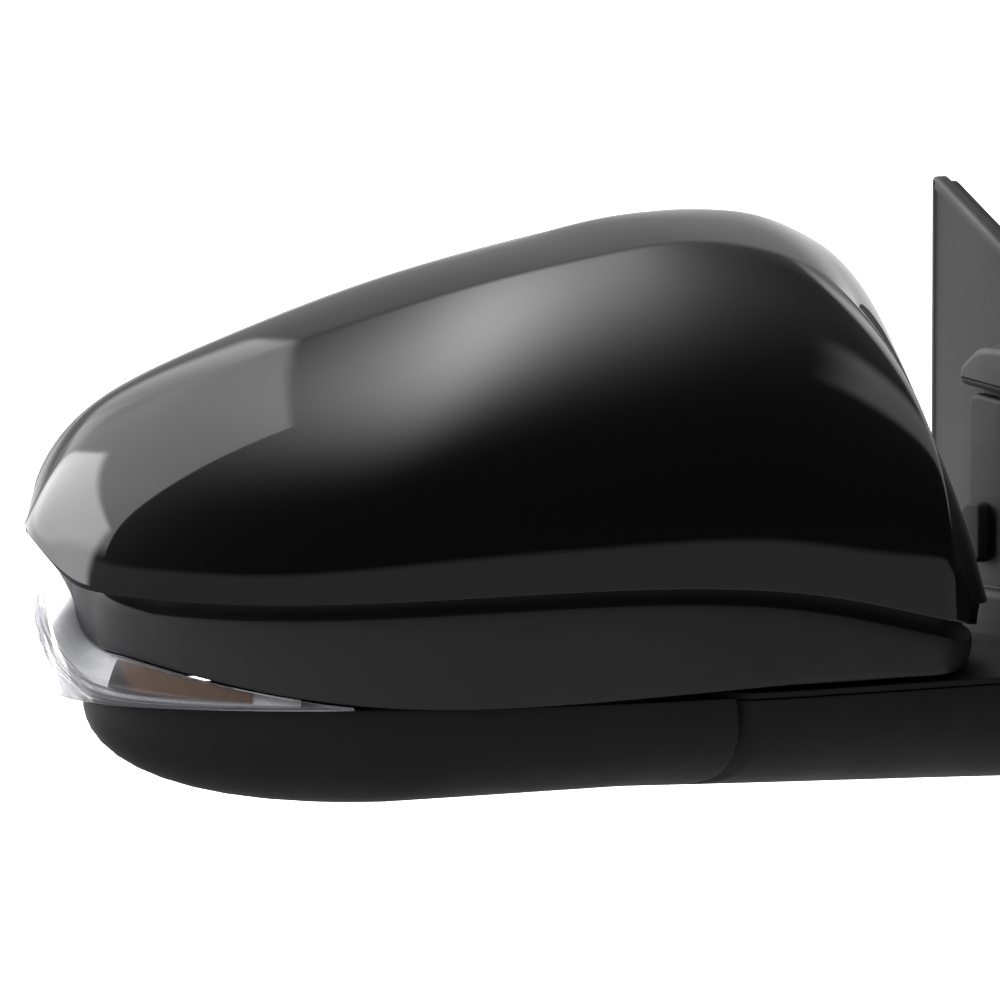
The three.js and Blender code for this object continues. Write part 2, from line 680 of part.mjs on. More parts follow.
function makeFrame() {
  const outline = [[-258, -12], [-256, 34], [-206, 52], [-168, 62], [-96, 64], [-76, 50], [-74, -20], [-240, -21]];
  const window = [[-244, -4], [-244, 26], [-222, 34], [-222, -4]];
  const plate = wallPlate(shapeOf(outline, [window]), FRAME.front, FRAME.back);
  const boss = rod(BOSS, point(PIVOT.x, PIVOT.y, -26.7), point(PIVOT.x, PIVOT.y, BOSS_TOP), 36);
  const web = block(-140, -76, 4, FRAME.front + 1, -20, -10);
  const room = rod(20.5, point(PIVOT.x, PIVOT.y, BOSS_TOP), point(PIVOT.x, PIVOT.y, 80), 32);
  const bore = rod(12.5, point(PIVOT.x, PIVOT.y, -40), point(PIVOT.x, PIVOT.y, 60), 28);
  const screwHoles = EARS.map(([x, z]) => rod(2, point(UNIT.x + x, 0, UNIT.z + z), point(UNIT.x + x, 30, UNIT.z + z), 12));
  return cut(join(plate, boss, web), room, bore, ...screwHoles);
}

function makeUnitBase() {
  const ears = EARS.map(([x, z]) => rod(5.5, point(UNIT.x + x, UNIT.base, UNIT.z + z), point(UNIT.x + x, UNIT.deck, UNIT.z + z), 20));
  const bridges = EARS.map(([x, z]) => block(
    UNIT.x + Math.min(x, x * 0.6), UNIT.x + Math.max(x, x * 0.6), UNIT.base, UNIT.deck, UNIT.z + z - 5, UNIT.z + z + 5,
  ));
  const plate = wallPlate(shapeOf(roundedBox(UNIT.halfX, UNIT.halfZ, 8)), UNIT.base, UNIT.deck);
  const holes = EARS.map(([x, z]) => rod(2, point(UNIT.x + x, 0, UNIT.z + z), point(UNIT.x + x, 30, UNIT.z + z), 12));
  return cut(join(plate, ...ears, ...bridges), ...holes);
}

function makeScrew([x, z]) {
  const profile = [[0, 10], [1.6, 10], [1.6, UNIT.deck + GAP], [3.4, UNIT.deck + GAP], [3.4, UNIT.deck + 2], [0, UNIT.deck + 2.6]];
  return turned(profile, point(UNIT.x + x, 0, UNIT.z + z), point(0, 1, 0), 12);
}

function makeUnitHousing() {
  const outer = wallPlate(shapeOf(roundedBox(UNIT.halfX - 1, UNIT.halfZ - 1, 7.5)), UNIT.deck + GAP, UNIT.front);
  const inner = wallPlate(shapeOf(roundedBox(UNIT.halfX - 2.8, UNIT.halfZ - 2.8, 6)), UNIT.deck, UNIT.front - 1.6);
  const lugs = [-1, 1].map((side) => block(
    GLASS.x + side * 16.5 - 2, GLASS.x + side * 16.5 + 2, UNIT.front - 1, TILT.y + 2.4, GLASS.z - 3, GLASS.z + 3,
  ));
  const pins = [-1, 1].map((side) => rod(1.3, TILT.clone().setX(GLASS.x + side * 10.4), TILT.clone().setX(GLASS.x + side * 15), 12));
  const holes = PLUNGERS.map(([x, z]) => rod(3.2, point(x, 20, z), point(x, 40, z), 16));
  return cut(join(cut(outer, inner), ...lugs, ...pins), ...holes);
}

function makePlunger([x, z]) {
  const ball = 2.7;
  const neck = 1.6;
  const arc = steps(5).map((t) => {
    const angle = mix(Math.asin(neck / ball), Math.PI, t);
    return [ball * Math.sin(angle), TILT.y - ball * Math.cos(angle)];
  });
  arc[arc.length - 1][0] = 0;
  const profile = [[0, 23], [2.4, 23], [2.4, 33], [neck, 33.6], ...arc];
  return turned(profile, point(x, 0, z), point(0, 1, 0), 12);
}

const GEAR = { outer: 8.6, root: 7.4, bore: 2.9, low: 23, high: 27, teeth: 18 };

function makeGear([x, z]) {
  const rim = steps(GEAR.teeth * 4).slice(0, GEAR.teeth * 4).map((t, i) => {
    const radius = i % 4 < 2 ? GEAR.outer : GEAR.root;
    return [x + radius * Math.cos(t * 2 * Math.PI), z + radius * Math.sin(t * 2 * Math.PI)];
  });
  return wallPlate(shapeOf(rim, [circle(x, z, GEAR.bore, 18)]), GEAR.low, GEAR.high);
}

const WORM = { core: 1.9, crest: 2.6, length: 12 };
const WORM_OFFSET = GEAR.outer + WORM.crest + 0.4;

function makeWorm(start, axis) {
  const threads = 5;
  const profile = [[0, 0]];
  for (let i = 0; i < threads; i += 1) {
    const at = 0.6 + i * 2.2;
    profile.push([WORM.core, at - 0.6], [WORM.core, at], [WORM.crest, at + 0.6], [WORM.crest, at + 1], [WORM.core, at + 1.6]);
  }
  profile.push([WORM.core, WORM.length], [0, WORM.length]);
  return turned(profile, start, axis, 10);
}

function makeMotor(start, axis) {
  const profile = [[0, 0], [2.4, 0], [2.4, 1], [4.8, 1], [4.8, 20], [2, 20], [2, 21], [0, 21]];
  return turned(profile, start, axis, 18);
}

// ---------- gimbal and glass ----------
function makeGimbal() {
  const band = turned(ring(13, 9.6, -2.4, 2.4), TILT, point(0, 1, 0), 32);
  const alongX = rod(1.7, TILT.clone().setX(GLASS.x - 20), TILT.clone().setX(GLASS.x + 20), 12);
  const alongZ = rod(1.7, TILT.clone().setZ(GLASS.z - 20), TILT.clone().setZ(GLASS.z + 20), 12);
  return cut(band, alongX, alongZ);
}

function glassSlab(inset, y0, y1) {
  const outline = rearLoop(inset, 0, 48).map((p) => [p.x, p.z]);
  return wallPlate(shapeOf(outline), y0, y1);
}

const CARRIER = { low: 40, high: 42 };

function makeCarrier() {
  const slab = glassSlab(GLASS.inset + 0.8, CARRIER.low, CARRIER.high);
  const centre = rod(19.8, point(GLASS.x, 30, GLASS.z), point(GLASS.x, 60, GLASS.z), 32);
  const lugs = [-1, 1].map((side) => block(
    GLASS.x - 3, GLASS.x + 3, TILT.y - 2.2, CARRIER.high - 0.5, GLASS.z + side * 16.6 - 2, GLASS.z + side * 16.6 + 2,
  ));
  const bridges = [-1, 1].map((side) => block(
    GLASS.x - 3, GLASS.x + 3, CARRIER.low, CARRIER.high, GLASS.z + side * 17.6 - 3, GLASS.z + side * 17.6 + 3,
  ));
  const pins = [-1, 1].map((side) => rod(1.3, TILT.clone().setZ(GLASS.z + side * 10.4), TILT.clone().setZ(GLASS.z + side * 15), 12));
  const sockets = PLUNGERS.map(([x, z]) => turned(ring(4.9, 3.3, 35.4, CARRIER.low + 1), point(x, 0, z), point(0, 1, 0), 18));
  return join(cut(slab, centre), ...bridges, ...lugs, ...pins, ...sockets);
}

// ---------- assembly ----------
const finish = (color, roughness, metalness = 0) => new THREE.MeshStandardMaterial({ color, roughness, metalness });
const LOOK = {
  paint: finish(0x0c0d10, 0.08),
  satin: finish(0x25262a, 0.45),
  grain: finish(0x1b1c1f, 0.7),
  rubber: finish(0x141414, 0.85),
  castAluminium: finish(0x8d9094, 0.5, 0.9),
  steel: finish(0x9a9ca0, 0.35, 1),
  springSteel: finish(0x55585c, 0.4, 1),
  brass: finish(0xb9974c, 0.35, 1),
  lens: finish(0xe9edf0, 0.06),
  chrome: finish(0xdfe3e6, 0.08, 1),
  amber: finish(0x8c5524, 0.25),
  board: finish(0x2c4a36, 0.6),
  whitePlastic: finish(0xd9d7cf, 0.5),
  heater: finish(0x3a332c, 0.7),
  glass: finish(0xc6d2d8, 0.02, 1),
};

const mirror = new THREE.Group();
mirror.name = 'car_side_mirror';
const foot = new THREE.Group();
const head = new THREE.Group();
const glassSet = new THREE.Group();
mirror.add(foot, head);
head.add(glassSet);

function add(parent, name, geometry, look) {
  const mesh = new THREE.Mesh(outward(geometry), look);
  mesh.name = name;
  parent.add(mesh);
}

add(foot, 'base_bracket', makeBracket(), LOOK.castAluminium);
add(foot, 'foot_cover', makeFootCover(), LOOK.grain);
add(foot, 'foot_top', makeFootTop(), LOOK.grain);
add(foot, 'sail_cover', makeSail(), LOOK.grain);
add(foot, 'sail_seal', makeGasket(), LOOK.rubber);
add(foot, 'fold_buffer', makeBuffer(), LOOK.rubber);
STUDS.forEach((place, i) => add(foot, `stud_${i + 1}`, makeStud(place), LOOK.steel));
add(foot, 'harness_grommet', makeGrommet(), LOOK.rubber);
add(foot, 'pivot_post', makePost(), LOOK.steel);
add(foot, 'detent_ring', makeDetent(), LOOK.steel);
add(foot, 'fold_spring', makeSpring(), LOOK.springSteel);
add(foot, 'spring_retainer', makeRetainer(), LOOK.steel);

add(head, 'head_frame', makeFrame(), LOOK.castAluminium);
add(head, 'cap', makeCap(), LOOK.paint);
add(head, 'trim_band', makeBand(), LOOK.satin);
add(head, 'rear_bezel', makeBezel(), LOOK.satin);
add(head, 'lower_cover', makeLowerCover(), LOOK.grain);
add(head, 'lamp_lens', lampSheet(LAMP_START, LAMP_END, 0, 1, 0, 1.6), LOOK.lens);
add(head, 'lamp_reflector', lampSheet(0.4, 4.35, 0.12, 0.9, 4.2, 0.9), LOOK.chrome);
add(head, 'lamp_strip', lampSheet(2.9, 4.1, 0.06, 0.4, 2.1, 1.1, 8), LOOK.amber);
add(head, 'actuator_base', makeUnitBase(), LOOK.satin);
add(head, 'actuator_housing', makeUnitHousing(), LOOK.satin);
EARS.forEach((place, i) => add(head, `actuator_screw_${i + 1}`, makeScrew(place), LOOK.steel));
const upAxis = point(0, 0, 1);
const outboardAxis = point(-1, 0, 0);
const wormZ = PLUNGERS[0][1] - WORM_OFFSET;
const wormX = PLUNGERS[1][0] + WORM_OFFSET;
add(head, 'gear_vertical', makeGear(PLUNGERS[0]), LOOK.whitePlastic);
add(head, 'gear_horizontal', makeGear(PLUNGERS[1]), LOOK.whitePlastic);
add(head, 'worm_vertical', makeWorm(point(GLASS.x + 6, 24.9, wormZ), outboardAxis), LOOK.brass);
add(head, 'worm_horizontal', makeWorm(point(wormX, 24.9, GLASS.z - 6), upAxis), LOOK.brass);
add(head, 'motor_vertical', makeMotor(point(GLASS.x + 27.5, 24.9, wormZ), outboardAxis), LOOK.steel);
add(head, 'motor_horizontal', makeMotor(point(wormX, 24.9, GLASS.z - 27.5), upAxis), LOOK.steel);
add(head, 'plunger_vertical', makePlunger(PLUNGERS[0]), LOOK.whitePlastic);
add(head, 'plunger_horizontal', makePlunger(PLUNGERS[1]), LOOK.whitePlastic);

add(glassSet, 'gimbal_ring', makeGimbal(), LOOK.whitePlastic);
add(glassSet, 'glass_carrier', makeCarrier(), LOOK.satin);
add(glassSet, 'glass_heater', glassSlab(GLASS.inset + 0.5, CARRIER.high + GAP, CARRIER.high + 0.8), LOOK.heater);
add(glassSet, 'mirror_glass', glassSlab(GLASS.inset, GLASS.front, GLASS.front + GLASS.thick), LOOK.glass);

export default mirror;
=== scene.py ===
import math

import bmesh
import bpy
import numpy as np
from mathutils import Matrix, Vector


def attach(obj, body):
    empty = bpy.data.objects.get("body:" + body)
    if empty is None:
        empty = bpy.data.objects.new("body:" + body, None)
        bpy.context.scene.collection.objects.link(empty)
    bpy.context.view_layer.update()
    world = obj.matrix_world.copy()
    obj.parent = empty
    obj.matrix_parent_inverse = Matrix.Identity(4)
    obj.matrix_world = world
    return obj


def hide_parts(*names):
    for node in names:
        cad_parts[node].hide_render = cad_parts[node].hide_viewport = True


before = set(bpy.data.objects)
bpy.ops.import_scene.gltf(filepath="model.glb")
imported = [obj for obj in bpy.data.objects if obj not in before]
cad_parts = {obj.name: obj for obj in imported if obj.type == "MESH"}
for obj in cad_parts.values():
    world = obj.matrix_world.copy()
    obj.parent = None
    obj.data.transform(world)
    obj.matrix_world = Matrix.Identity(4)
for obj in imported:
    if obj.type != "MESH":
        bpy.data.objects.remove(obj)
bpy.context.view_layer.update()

# ---------- driving sizes, in millimetres ----------
MM = 0.001
REAR = 50.0                 # Y of the head's rear edge
PIVOT = (-105.0, 0.0)       # fold axis
CAP_WALL = 2.4
WALL = 2.2
CREASE = 1.3                # how far the crease's rounding reaches on each side
RIM = 0.9                   # rounding of the cap's rims
RECESS = 2.6                # how deep the band's shadow groove runs under the cap
STEP_DROP = 4.2             # how far below the cap's edge the band's face begins
PARTING = -26.5
LAMP_LOW = -28.6
COVER_TOP = -28.9
SPLIT = 1.8                 # half the gap between the lower cover and the foot
BOSS_HOLE = 25.5            # radius of the hole in the head's floor round the turning boss
HEAD_FLOOR, HEAD_FLOOR_TOP = -26.1, -24.1
NECK_START = -100.0         # X where the foot's neck begins
HULL_SIDES = (-90, 70)      # Y just beyond the hull on each side
HULL_UNDER = -80.0          # Z just below the hull
SAIL_BACK, SAIL_FACE = -10.0, -14.0
RAISED_BACK = -12.0         # the sail's raised parts begin inside its plate
HOOD_FACE, COLUMN_FACE, ROOT_FACE = -19.5, -16.5, -20.0
# Z below which the sail's raised parts get the painted shade
COLUMN_TOP = 40.5
BUFFER_BACK, BUFFER_FACE = -16.9, -20.0
GLASS_FRONT = 43.1
GLASS_THICK = 2.2
GLASS_INSET = 16.0


# ---------- curves ----------
def spline(rows):
    """Natural cubic spline through rows of [parameter, value, value, ...]."""
    rows = np.array(rows, float)
    at, values = rows[:, 0], rows[:, 1:]
    count = len(at)
    gap = np.diff(at)
    system = np.zeros((count, count))
    right = np.zeros_like(values)
    system[0, 0] = system[-1, -1] = 1
    for i in range(1, count - 1):
        system[i, i - 1] = gap[i - 1]
        system[i, i] = 2 * (gap[i - 1] + gap[i])
        system[i, i + 1] = gap[i]
        rise = (values[i + 1] - values[i]) / gap[i]
        fall = (values[i] - values[i - 1]) / gap[i - 1]
        right[i] = 6 * (rise - fall)
    bend = np.linalg.solve(system, right)

    def value(t):
        i = int(np.clip(np.searchsorted(at, t, side="left") - 1, 0, count - 2))
        b = (t - at[i]) / gap[i]
        a = 1 - b
        curved = (a**3 - a) * bend[i] + (b**3 - b) * bend[i + 1]
        return a * values[i] + b * values[i + 1] + curved * gap[i] ** 2 / 6

    return value


def loop(corners):
    """A closed spline: the list is wrapped by three knots at each end."""
    count = len(corners)
    return spline([[i / count, *corners[i % count]] for i in range(-3, count + 4)])


def bezier(a, b, c, count):
    """Points of a quadratic curve, its ends included."""
    return [a * (1 - t) ** 2 + b * 2 * t * (1 - t) + c * t**2 for t in np.linspace(0, 1, count)]


def toward(a, b, distance):
    """The point that far from a on the way to b."""
    return a + (b - a) * (distance / np.linalg.norm(b - a))


def rounded(corners, radius, count=6):
    """A closed outline with its corners rounded."""
    corners = [np.array(c, float) for c in corners]
    points = []
    for i, corner in enumerate(corners):
        before, after = corners[i - 1], corners[(i + 1) % len(corners)]
        reach = min(radius, 0.4 * np.linalg.norm(before - corner), 0.4 * np.linalg.norm(after - corner))
        points += bezier(toward(corner, before, reach), corner, toward(corner, after, reach), count)
    return points


def normals_of(outline):
    """Unit inward normals of a closed flat outline."""
    points = np.array(outline, float)
    along = np.roll(points, -1, axis=0) - np.roll(points, 1, axis=0)
    normal = np.stack([-along[:, 1], along[:, 0]], axis=1)
    normal /= np.maximum(np.linalg.norm(normal, axis=1), 1e-9)[:, None]
    following = np.roll(points, -1, axis=0)
    area = np.sum(points[:, 0] * following[:, 1] - following[:, 0] * points[:, 1])
    return normal if area > 0 else -normal


# ---------- rails of the head ----------
LEDGE = PARTING + 0.4
plan_rail = spline([
    [0, -307, REAR, 13, 6],
    [1, -316, 31, 14.5, -3],
    [2, -313, 17, 5, -13],
    [3, -306, 5, 0.5, -15.5],
    [4, -282, -17, -1.5, -22.6],
    [5, -242, -38, -1, -28.5],
    [6, -192, -53, 0.5, -28],
    [7, -142, -60, -2, LEDGE],
    [8, -104, -61, -9.5, LEDGE],
    [9, -84, -57, -13.5, LEDGE],
    [10, -61, -31, -15.7, LEDGE],
    [11, -46, 0, -15, LEDGE],
    [12, -38.5, REAR, -14, LEDGE],
])
crease_rail = spline([
    [1, -315.5, 33, 17, -307, 16],
    [1.6, -309.5, 34.5, 26, -303.5, 27],
    [2.3, -300, 34.5, 36, -294, 40],
    [3.2, -283, 30.5, 46, -279, 50],
    [4.2, -254, 21, 58.5, -250, 61.5],
    [5, -211, 9, 72.5, -205, 75.7],
    [6, -164, 1, 83, -158, 86.3],
    [7, -130, -4, 85.8, -122, 92.3],
    [7.6, -107, -8, 80.3, -92, 92.2],
    [8.1, -93.5, -14, 68, -68, 85],
    [8.4, -97, -26, 54, -50, 70],
    [8.6, -98, -40, 35, -42, 48],
    [8.8, -92.5, -53, 13.5, -39, 20],
    [9, -84, -57, -8, -38.5, -13],
])
crown_rail = spline([
    [1, 0, 0, 0, 0, 0, 0],
    [2.3, -5, -7, 3.5, -1, 0, 1],
    [3.2, -6, -15, 6.5, -1, 0, 2],
    [4.2, -5, -24, 9, 0, 0, 2.5],
    [5, -3, -31, 10, 0, 0, 2.5],
    [6, 0, -36, 10.5, 0, 0, 2.5],
    [7, 2, -38, 10, 1, 0, 3],
    [7.6, 3, -37, 10, 1, 0, 3],
    [8.1, 2, -36, 8, 2, -1, 3.5],
    [8.4, 1, -28, 6, 5, -5, 4],
    [8.6, 0, -16, 4, 10, -11, 3],
    [8.8, 0, -6, 2, 12, -19, 1],
    [9, 0, -1, 0, 12, -25, 0],
])
lower_rail = spline([
    [0, 5.5, 3.5, -1],
    [1, 11, 2.3, -9],
    [2, 10, 1, -19],
    [3, 7.5, 1.2, -25.5],
    [4, 5.2, 4.4, -27.3],
    [5, 4.4, 4.2, -27.8],
    [6, 4.2, 4, -28],
    [9, 4.8, 4, -28],
    [12, 5.2, 4, -28],
])
rear_outline = loop([
    [-297, 3], [-304.5, 17], [-300, 33], [-283, 48], [-250, 61.5], [-205, 75.7], [-160, 86],
    [-122, 92.3], [-92, 92.2], [-66, 84], [-49, 68], [-41, 48], [-38.5, 20], [-39, -6], [-46, -21],
    [-64, -26.1], [-120, -26.1], [-200, -27.4], [-270, -28], [-284, -24.5], [-291, -12],
])
hull_outline = loop([
    [-300, 32], [-299, 14], [-277, -10], [-238, -31], [-190, -46], [-142, -53], [-104, -55],
    [-70, -56], [-40, -60], [-14, -68], [12, -78], [20, -20], [12, 54], [-14, 49], [-50, 47.5],
    [-100, 48.5], [-170, 49], [-240, 49.5], [-284, 48],
])


def inward(p, distance):
    """Moves a point of the skin towards a line down the middle of the head."""
    core = np.array([np.clip(p[0], -272, -92), 45, 20])
    return toward(p, core, distance)


def plan_point(knot, inset, z):
    """A point of the plan moved inward by the outline's own normal."""
    x, y = plan_rail(knot)[:2]
    before = plan_rail(max(0, knot - 0.02))
    after = plan_rail(min(12, knot + 0.02))
    dx, dy = after[0] - before[0], after[1] - before[1]
    length = math.hypot(dx, dy)
    return np.array([x - dy / length * inset, y + dx / length * inset, z])


def rear_loop(inset, y, count=240):
    """The head's rear outline at a height Y, pulled inward."""
    points = []
    for t in np.arange(count) / count:
        edge = rear_outline(t)
        near = np.clip(edge[0], -258, -92)
        core = np.array([near, 13 + 20 * (near + 258) / 166])
        moved = toward(edge, core, inset)
        points.append(np.array([moved[0], y, moved[1]]))
    return points


# ---------- meshes ----------
def quads_between(a, b, count, closed=True):
    """Faces that join two runs of points, given by the index each starts at."""
    faces = []
    for j in range(count if closed else count - 1):
        following = (j + 1) % count
        faces.append((a + j, a + following, b + following, b + j))
    return faces


def tube(sections):
    """A body through closed sections, its two ends filled."""
    count = len(sections[0])
    points = [p for section in sections for p in section]
    faces = []
    for k in range(len(sections) - 1):
        faces += quads_between(k * count, (k + 1) * count, count)
    faces.append(tuple(range(count)))
    faces.append(tuple(range((len(sections) - 1) * count, len(sections) * count)))
    return points, faces


def ring_body(sections):
    """A body through closed sections whose last joins back to the first."""
    count = len(sections[0])
    points = [p for section in sections for p in section]
    faces = []
    for k in range(len(sections)):
        faces += quads_between(k * count, (k + 1) % len(sections) * count, count)
    return points, faces


def merged(*bodies):
    """Several bodies as one list of points and faces."""
    points, faces = [], []
    for body_points, body_faces in bodies:
        faces += [tuple(i + len(points) for i in face) for face in body_faces]
        points += body_points
    return points, faces


def mesh_object(name, body, groove_shade=None):
    """A new object holding one body, in metres, its faces turned outward."""
    points, faces = body
    mesh = bpy.data.meshes.new(name)
    mesh.from_pydata([tuple(float(v) * MM for v in p) for p in points], [], faces)
    # the lens's painted groove shade is kept as a point attribute
    if groove_shade is not None:
        mesh.attributes.new("groove_shade", "FLOAT", "POINT").data.foreach_set("value", groove_shade)
    work = bmesh.new()
    work.from_mesh(mesh)
    bmesh.ops.remove_doubles(work, verts=work.verts, dist=1e-7)
    bmesh.ops.recalc_face_normals(work, faces=work.faces)
    work.to_mesh(mesh)
    work.free()
    made = bpy.data.objects.new(name, mesh)
    bpy.context.scene.collection.objects.link(made)
    return made


def second_look(made, look, is_there):
    """Gives a second material to the faces that is_there picks by their centre, in millimetres."""
    made.data.materials.append(look)
    for face in made.data.polygons:
        face.material_index = int(is_there(*(face.center / MM)))


def finish_piece(made, look, body, nodes, sharp=32):
    """Shades a piece smooth up to an angle and ties it to the frame."""
    made.data.polygons.foreach_set("use_smooth", [True] * len(made.data.polygons))
    made.data.set_sharp_from_angle(angle=math.radians(sharp))
    made.data.materials.clear()
    made.data.materials.append(look)
    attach(made, body)
    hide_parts(*nodes)
    return made


def combined(made, kind, tool):
    """Cuts, keeps or adds the tool, and removes it."""
    modifier = made.modifiers.new(kind, "BOOLEAN")
    modifier.operation = kind
    modifier.solver = "EXACT"
    modifier.object = tool
    graph = bpy.context.evaluated_depsgraph_get()
    mesh = bpy.data.meshes.new_from_object(made.evaluated_get(graph))
    made.modifiers.clear()
    made.data = mesh
    bpy.data.objects.remove(tool)
    return made


# ---------- painted cap ----------
def cap_section(knot):
    """One closed section of the cap: outside with a rounded crease and rims, then inside."""
    lower = plan_rail(knot)[:3]
    crease_x, crease_y, crease_z, rear_x, rear_z = crease_rail(knot)
    crown = crown_rail(knot)
    crease = np.array([crease_x, crease_y, crease_z])
    rear = np.array([rear_x, REAR, rear_z])

    def between(a, b, swell, s):
        return a + (b - a) * s + swell * 2 * s * (1 - s)

    face_cut = min(0.3, CREASE / np.linalg.norm(crease - lower))
    band_cut = min(0.3, CREASE / np.linalg.norm(rear - crease))
    rim = min(0.1, RIM / np.linalg.norm(crease - lower))
    face = [between(lower, crease, crown[:3], s) for s in np.linspace(rim, 1 - face_cut, 34)]
    band = [between(crease, rear, crown[3:], s) for s in np.linspace(band_cut, 0.97, 14)]
    turn = bezier(face[-1], crease, band[0], 9)[1:-1]
    lower_in = inward(lower, CAP_WALL)
    rear_in = inward(rear, CAP_WALL)
    lower_rim = bezier(toward(lower, lower_in, RIM), lower, face[0], 5)[:-1]
    rear_rim = bezier(band[-1], rear, toward(rear, rear_in, RIM), 4)[1:]
    outside = face + turn + band
    inside = [inward(p, CAP_WALL) for p in outside]
    inside[0] = lower_in
    inside[-1] = rear_in
    return lower_rim + outside + rear_rim + inside[::-1]


# ---------- band and floor ----------
def band_section(knot):
    """One closed section of the trim band."""
    cap_edge, low = plan_rail(knot)[2:]
    inset = lower_rail(knot)[0]
    shadow = RECESS * np.clip((knot - 2.2) / 1.2, 0, 1)
    step = cap_edge - STEP_DROP * np.clip((knot - 2.2) / 1.2, 0.25, 1)
    depth = plan_point(knot, inset + WALL, 0) - plan_point(knot, inset, 0)
    top = plan_point(knot, inset + 0.6 + shadow, cap_edge + 5)
    throat = plan_point(knot, inset + 0.4 + shadow, step + 1.2)
    shelf = plan_point(knot, inset + 0.2, step)
    bottom = plan_point(knot, inset + 1, low)
    middle = plan_point(knot, inset - 0.4, max(step - 3, (step + low) / 2))
    face = bezier(shelf, middle, bottom, 14)
    lip = bezier(face[-2], bottom, bottom + depth * 0.3, 4)
    throat_turn = bezier(top + (throat - top) * 0.6, throat, shelf, 6)
    outside = [top] + throat_turn[:-1] + face[:-2] + lip
    inside = [bottom + depth, middle + depth, shelf + depth, top + depth]
    return outside + [bottom + depth * 0.8] + inside


def floor_ring():
    """The head's floor plate, from the turning boss out to the band."""
    edge = [plan_point(k, 6.2, 0)[:2] for k in np.linspace(6.2, 11.85, 60)]
    edge.append(np.array([edge[0][0], 47.0]))
    sections = []
    for angle in np.linspace(0, 2 * math.pi, 120, endpoint=False):
        ray = np.array([math.cos(angle), math.sin(angle)])
        reach = 0
        for i, a in enumerate(edge):
            b = edge[(i + 1) % len(edge)]
            across = np.array([a - PIVOT, b - PIVOT])
            weight = across @ np.array([-ray[1], ray[0]])
            if weight[0] * weight[1] <= 0 and weight[0] != weight[1]:
                s = weight[0] / (weight[0] - weight[1])
                reach = max(reach, (across[0] + (across[1] - across[0]) * s) @ ray)
        sections.append([
            np.array([PIVOT[0] + ray[0] * r, PIVOT[1] + ray[1] * r, z])
            for r, z in [
                (BOSS_HOLE, HEAD_FLOOR), (reach, HEAD_FLOOR),
                (reach, HEAD_FLOOR_TOP), (BOSS_HOLE, HEAD_FLOOR_TOP),
            ]
        ])
    return ring_body(sections)


# ---------- lamp ----------
LAMP_START, LAMP_END = 0.15, 4.7
LENS_COLUMNS, LENS_ROWS = 170, 130
LENS_WALL = 1.6
REFLECTOR_DEPTH, REFLECTOR_WALL = 4.2, 0.9
STRIP_DEPTH, STRIP_WALL = 2.1, 1.1
DARK_TIP = (-0.3005, -0.2985)   # X in metres over which the strip's tip turns dark
RIB_COUNT = 11
RIB_HEIGHT = 0.45


def lamp_point(knot, t, depth):
    """A point of the lamp's front: 0 at its upper edge, 0.5 on the ledge, 1 at its lower edge."""
    upper = plan_rail(knot)[3]
    band, ledge, ledge_z = lower_rail(knot)
    top = plan_point(knot, band + 1 + depth, upper - 0.6)
    edge = plan_point(knot, ledge + depth, min(ledge_z, upper - 1))
    bottom = plan_point(knot, band + 1 + depth, LAMP_LOW)
    start, end, s = (top, edge, 2 * t) if t < 0.5 else (edge, bottom, 2 * t - 1)
    swell = plan_point(knot, ledge + depth, 0) - plan_point(knot, band + depth, 0)
    return start + (end - start) * s + swell * 0.5 * s * (1 - s)


def rib_wave(knot, t):
    """The ribs round the ledge: 1 on a crest, -1 in a groove, 0 where there are none."""
    fade = np.clip((4.2 - knot) / 0.8, 0, 1) * np.clip((knot - 0.3) / 0.5, 0, 1)
    near = min(1, 3 * np.clip(1 - abs(t - 0.55) / 0.25, 0, 1))
    return fade * near * math.cos(2 * math.pi * RIB_COUNT * t)


def groove_shade_marks(first, last, columns, rows):
    """How deep in a groove each point of the lens lies, in the order of lamp_sheet's points; this sets where
    the grooves get their painted shade.
    """
    marks = []
    for knot in np.linspace(first, last, columns):
        front = [float(max(0, -rib_wave(knot, t))) for t in np.linspace(0, 1, rows)]
        marks += front + front[::-1]
    return marks


def lamp_sheet(first, last, t0, t1, depth, thick, columns=90, rows=60, ribs=0.0):
    """A curved sheet of the lamp, with optional ribs round its ledge."""
    sections = []
    for knot in np.linspace(first, last, columns):
        outside, inside = [], []
        for t in np.linspace(t0, t1, rows):
            outside.append(lamp_point(knot, t, depth - ribs * rib_wave(knot, t)))
            inside.append(lamp_point(knot, t, depth + thick))
        sections.append(outside + inside[::-1])
    return tube(sections)


# ---------- bezel and glass ----------
def bezel_body():
    section = rounded([
        (0.4, 50.4), (0.5, 53), (2.2, 55), (5.5, 55), (11, 52.5), (11.4, 45), (9.4, 45), (9, 50.4),
    ], 1.6)
    return ring_body([rear_loop(inset, y) for inset, y in section])


def glass_body():
    back = GLASS_FRONT + GLASS_THICK
    rings = [(0.5, GLASS_FRONT), (0, GLASS_FRONT + 0.4), (0, back - 0.5), (0.25, back - 0.1), (0.8, back)]
    return tube([rear_loop(GLASS_INSET + inset, y) for inset, y in rings])


# ---------- lower cover and foot ----------
def hull_loop(degrees, inset, lift):
    """One loop of the hull: 0 at the upper rim, 90 degrees at the keel."""
    angle = math.radians(degrees)
    reach, drop = math.cos(angle) ** 0.85, math.sin(angle) ** 0.85
    points = []
    for t in np.arange(180) / 180:
        x, y = hull_outline(t)
        rim = np.array([x, y])
        core = np.array([np.clip(x, -235, 20), 0])
        out = rim - core
        length = np.linalg.norm(out)
        out = out / length * max(0.5, length - inset) * reach + core
        depth = 28 + max(0, (x + 170) * 0.045) - inset
        points.append(np.array([out[0], out[1], PARTING - 1.3 - depth * drop + lift]))
    return points


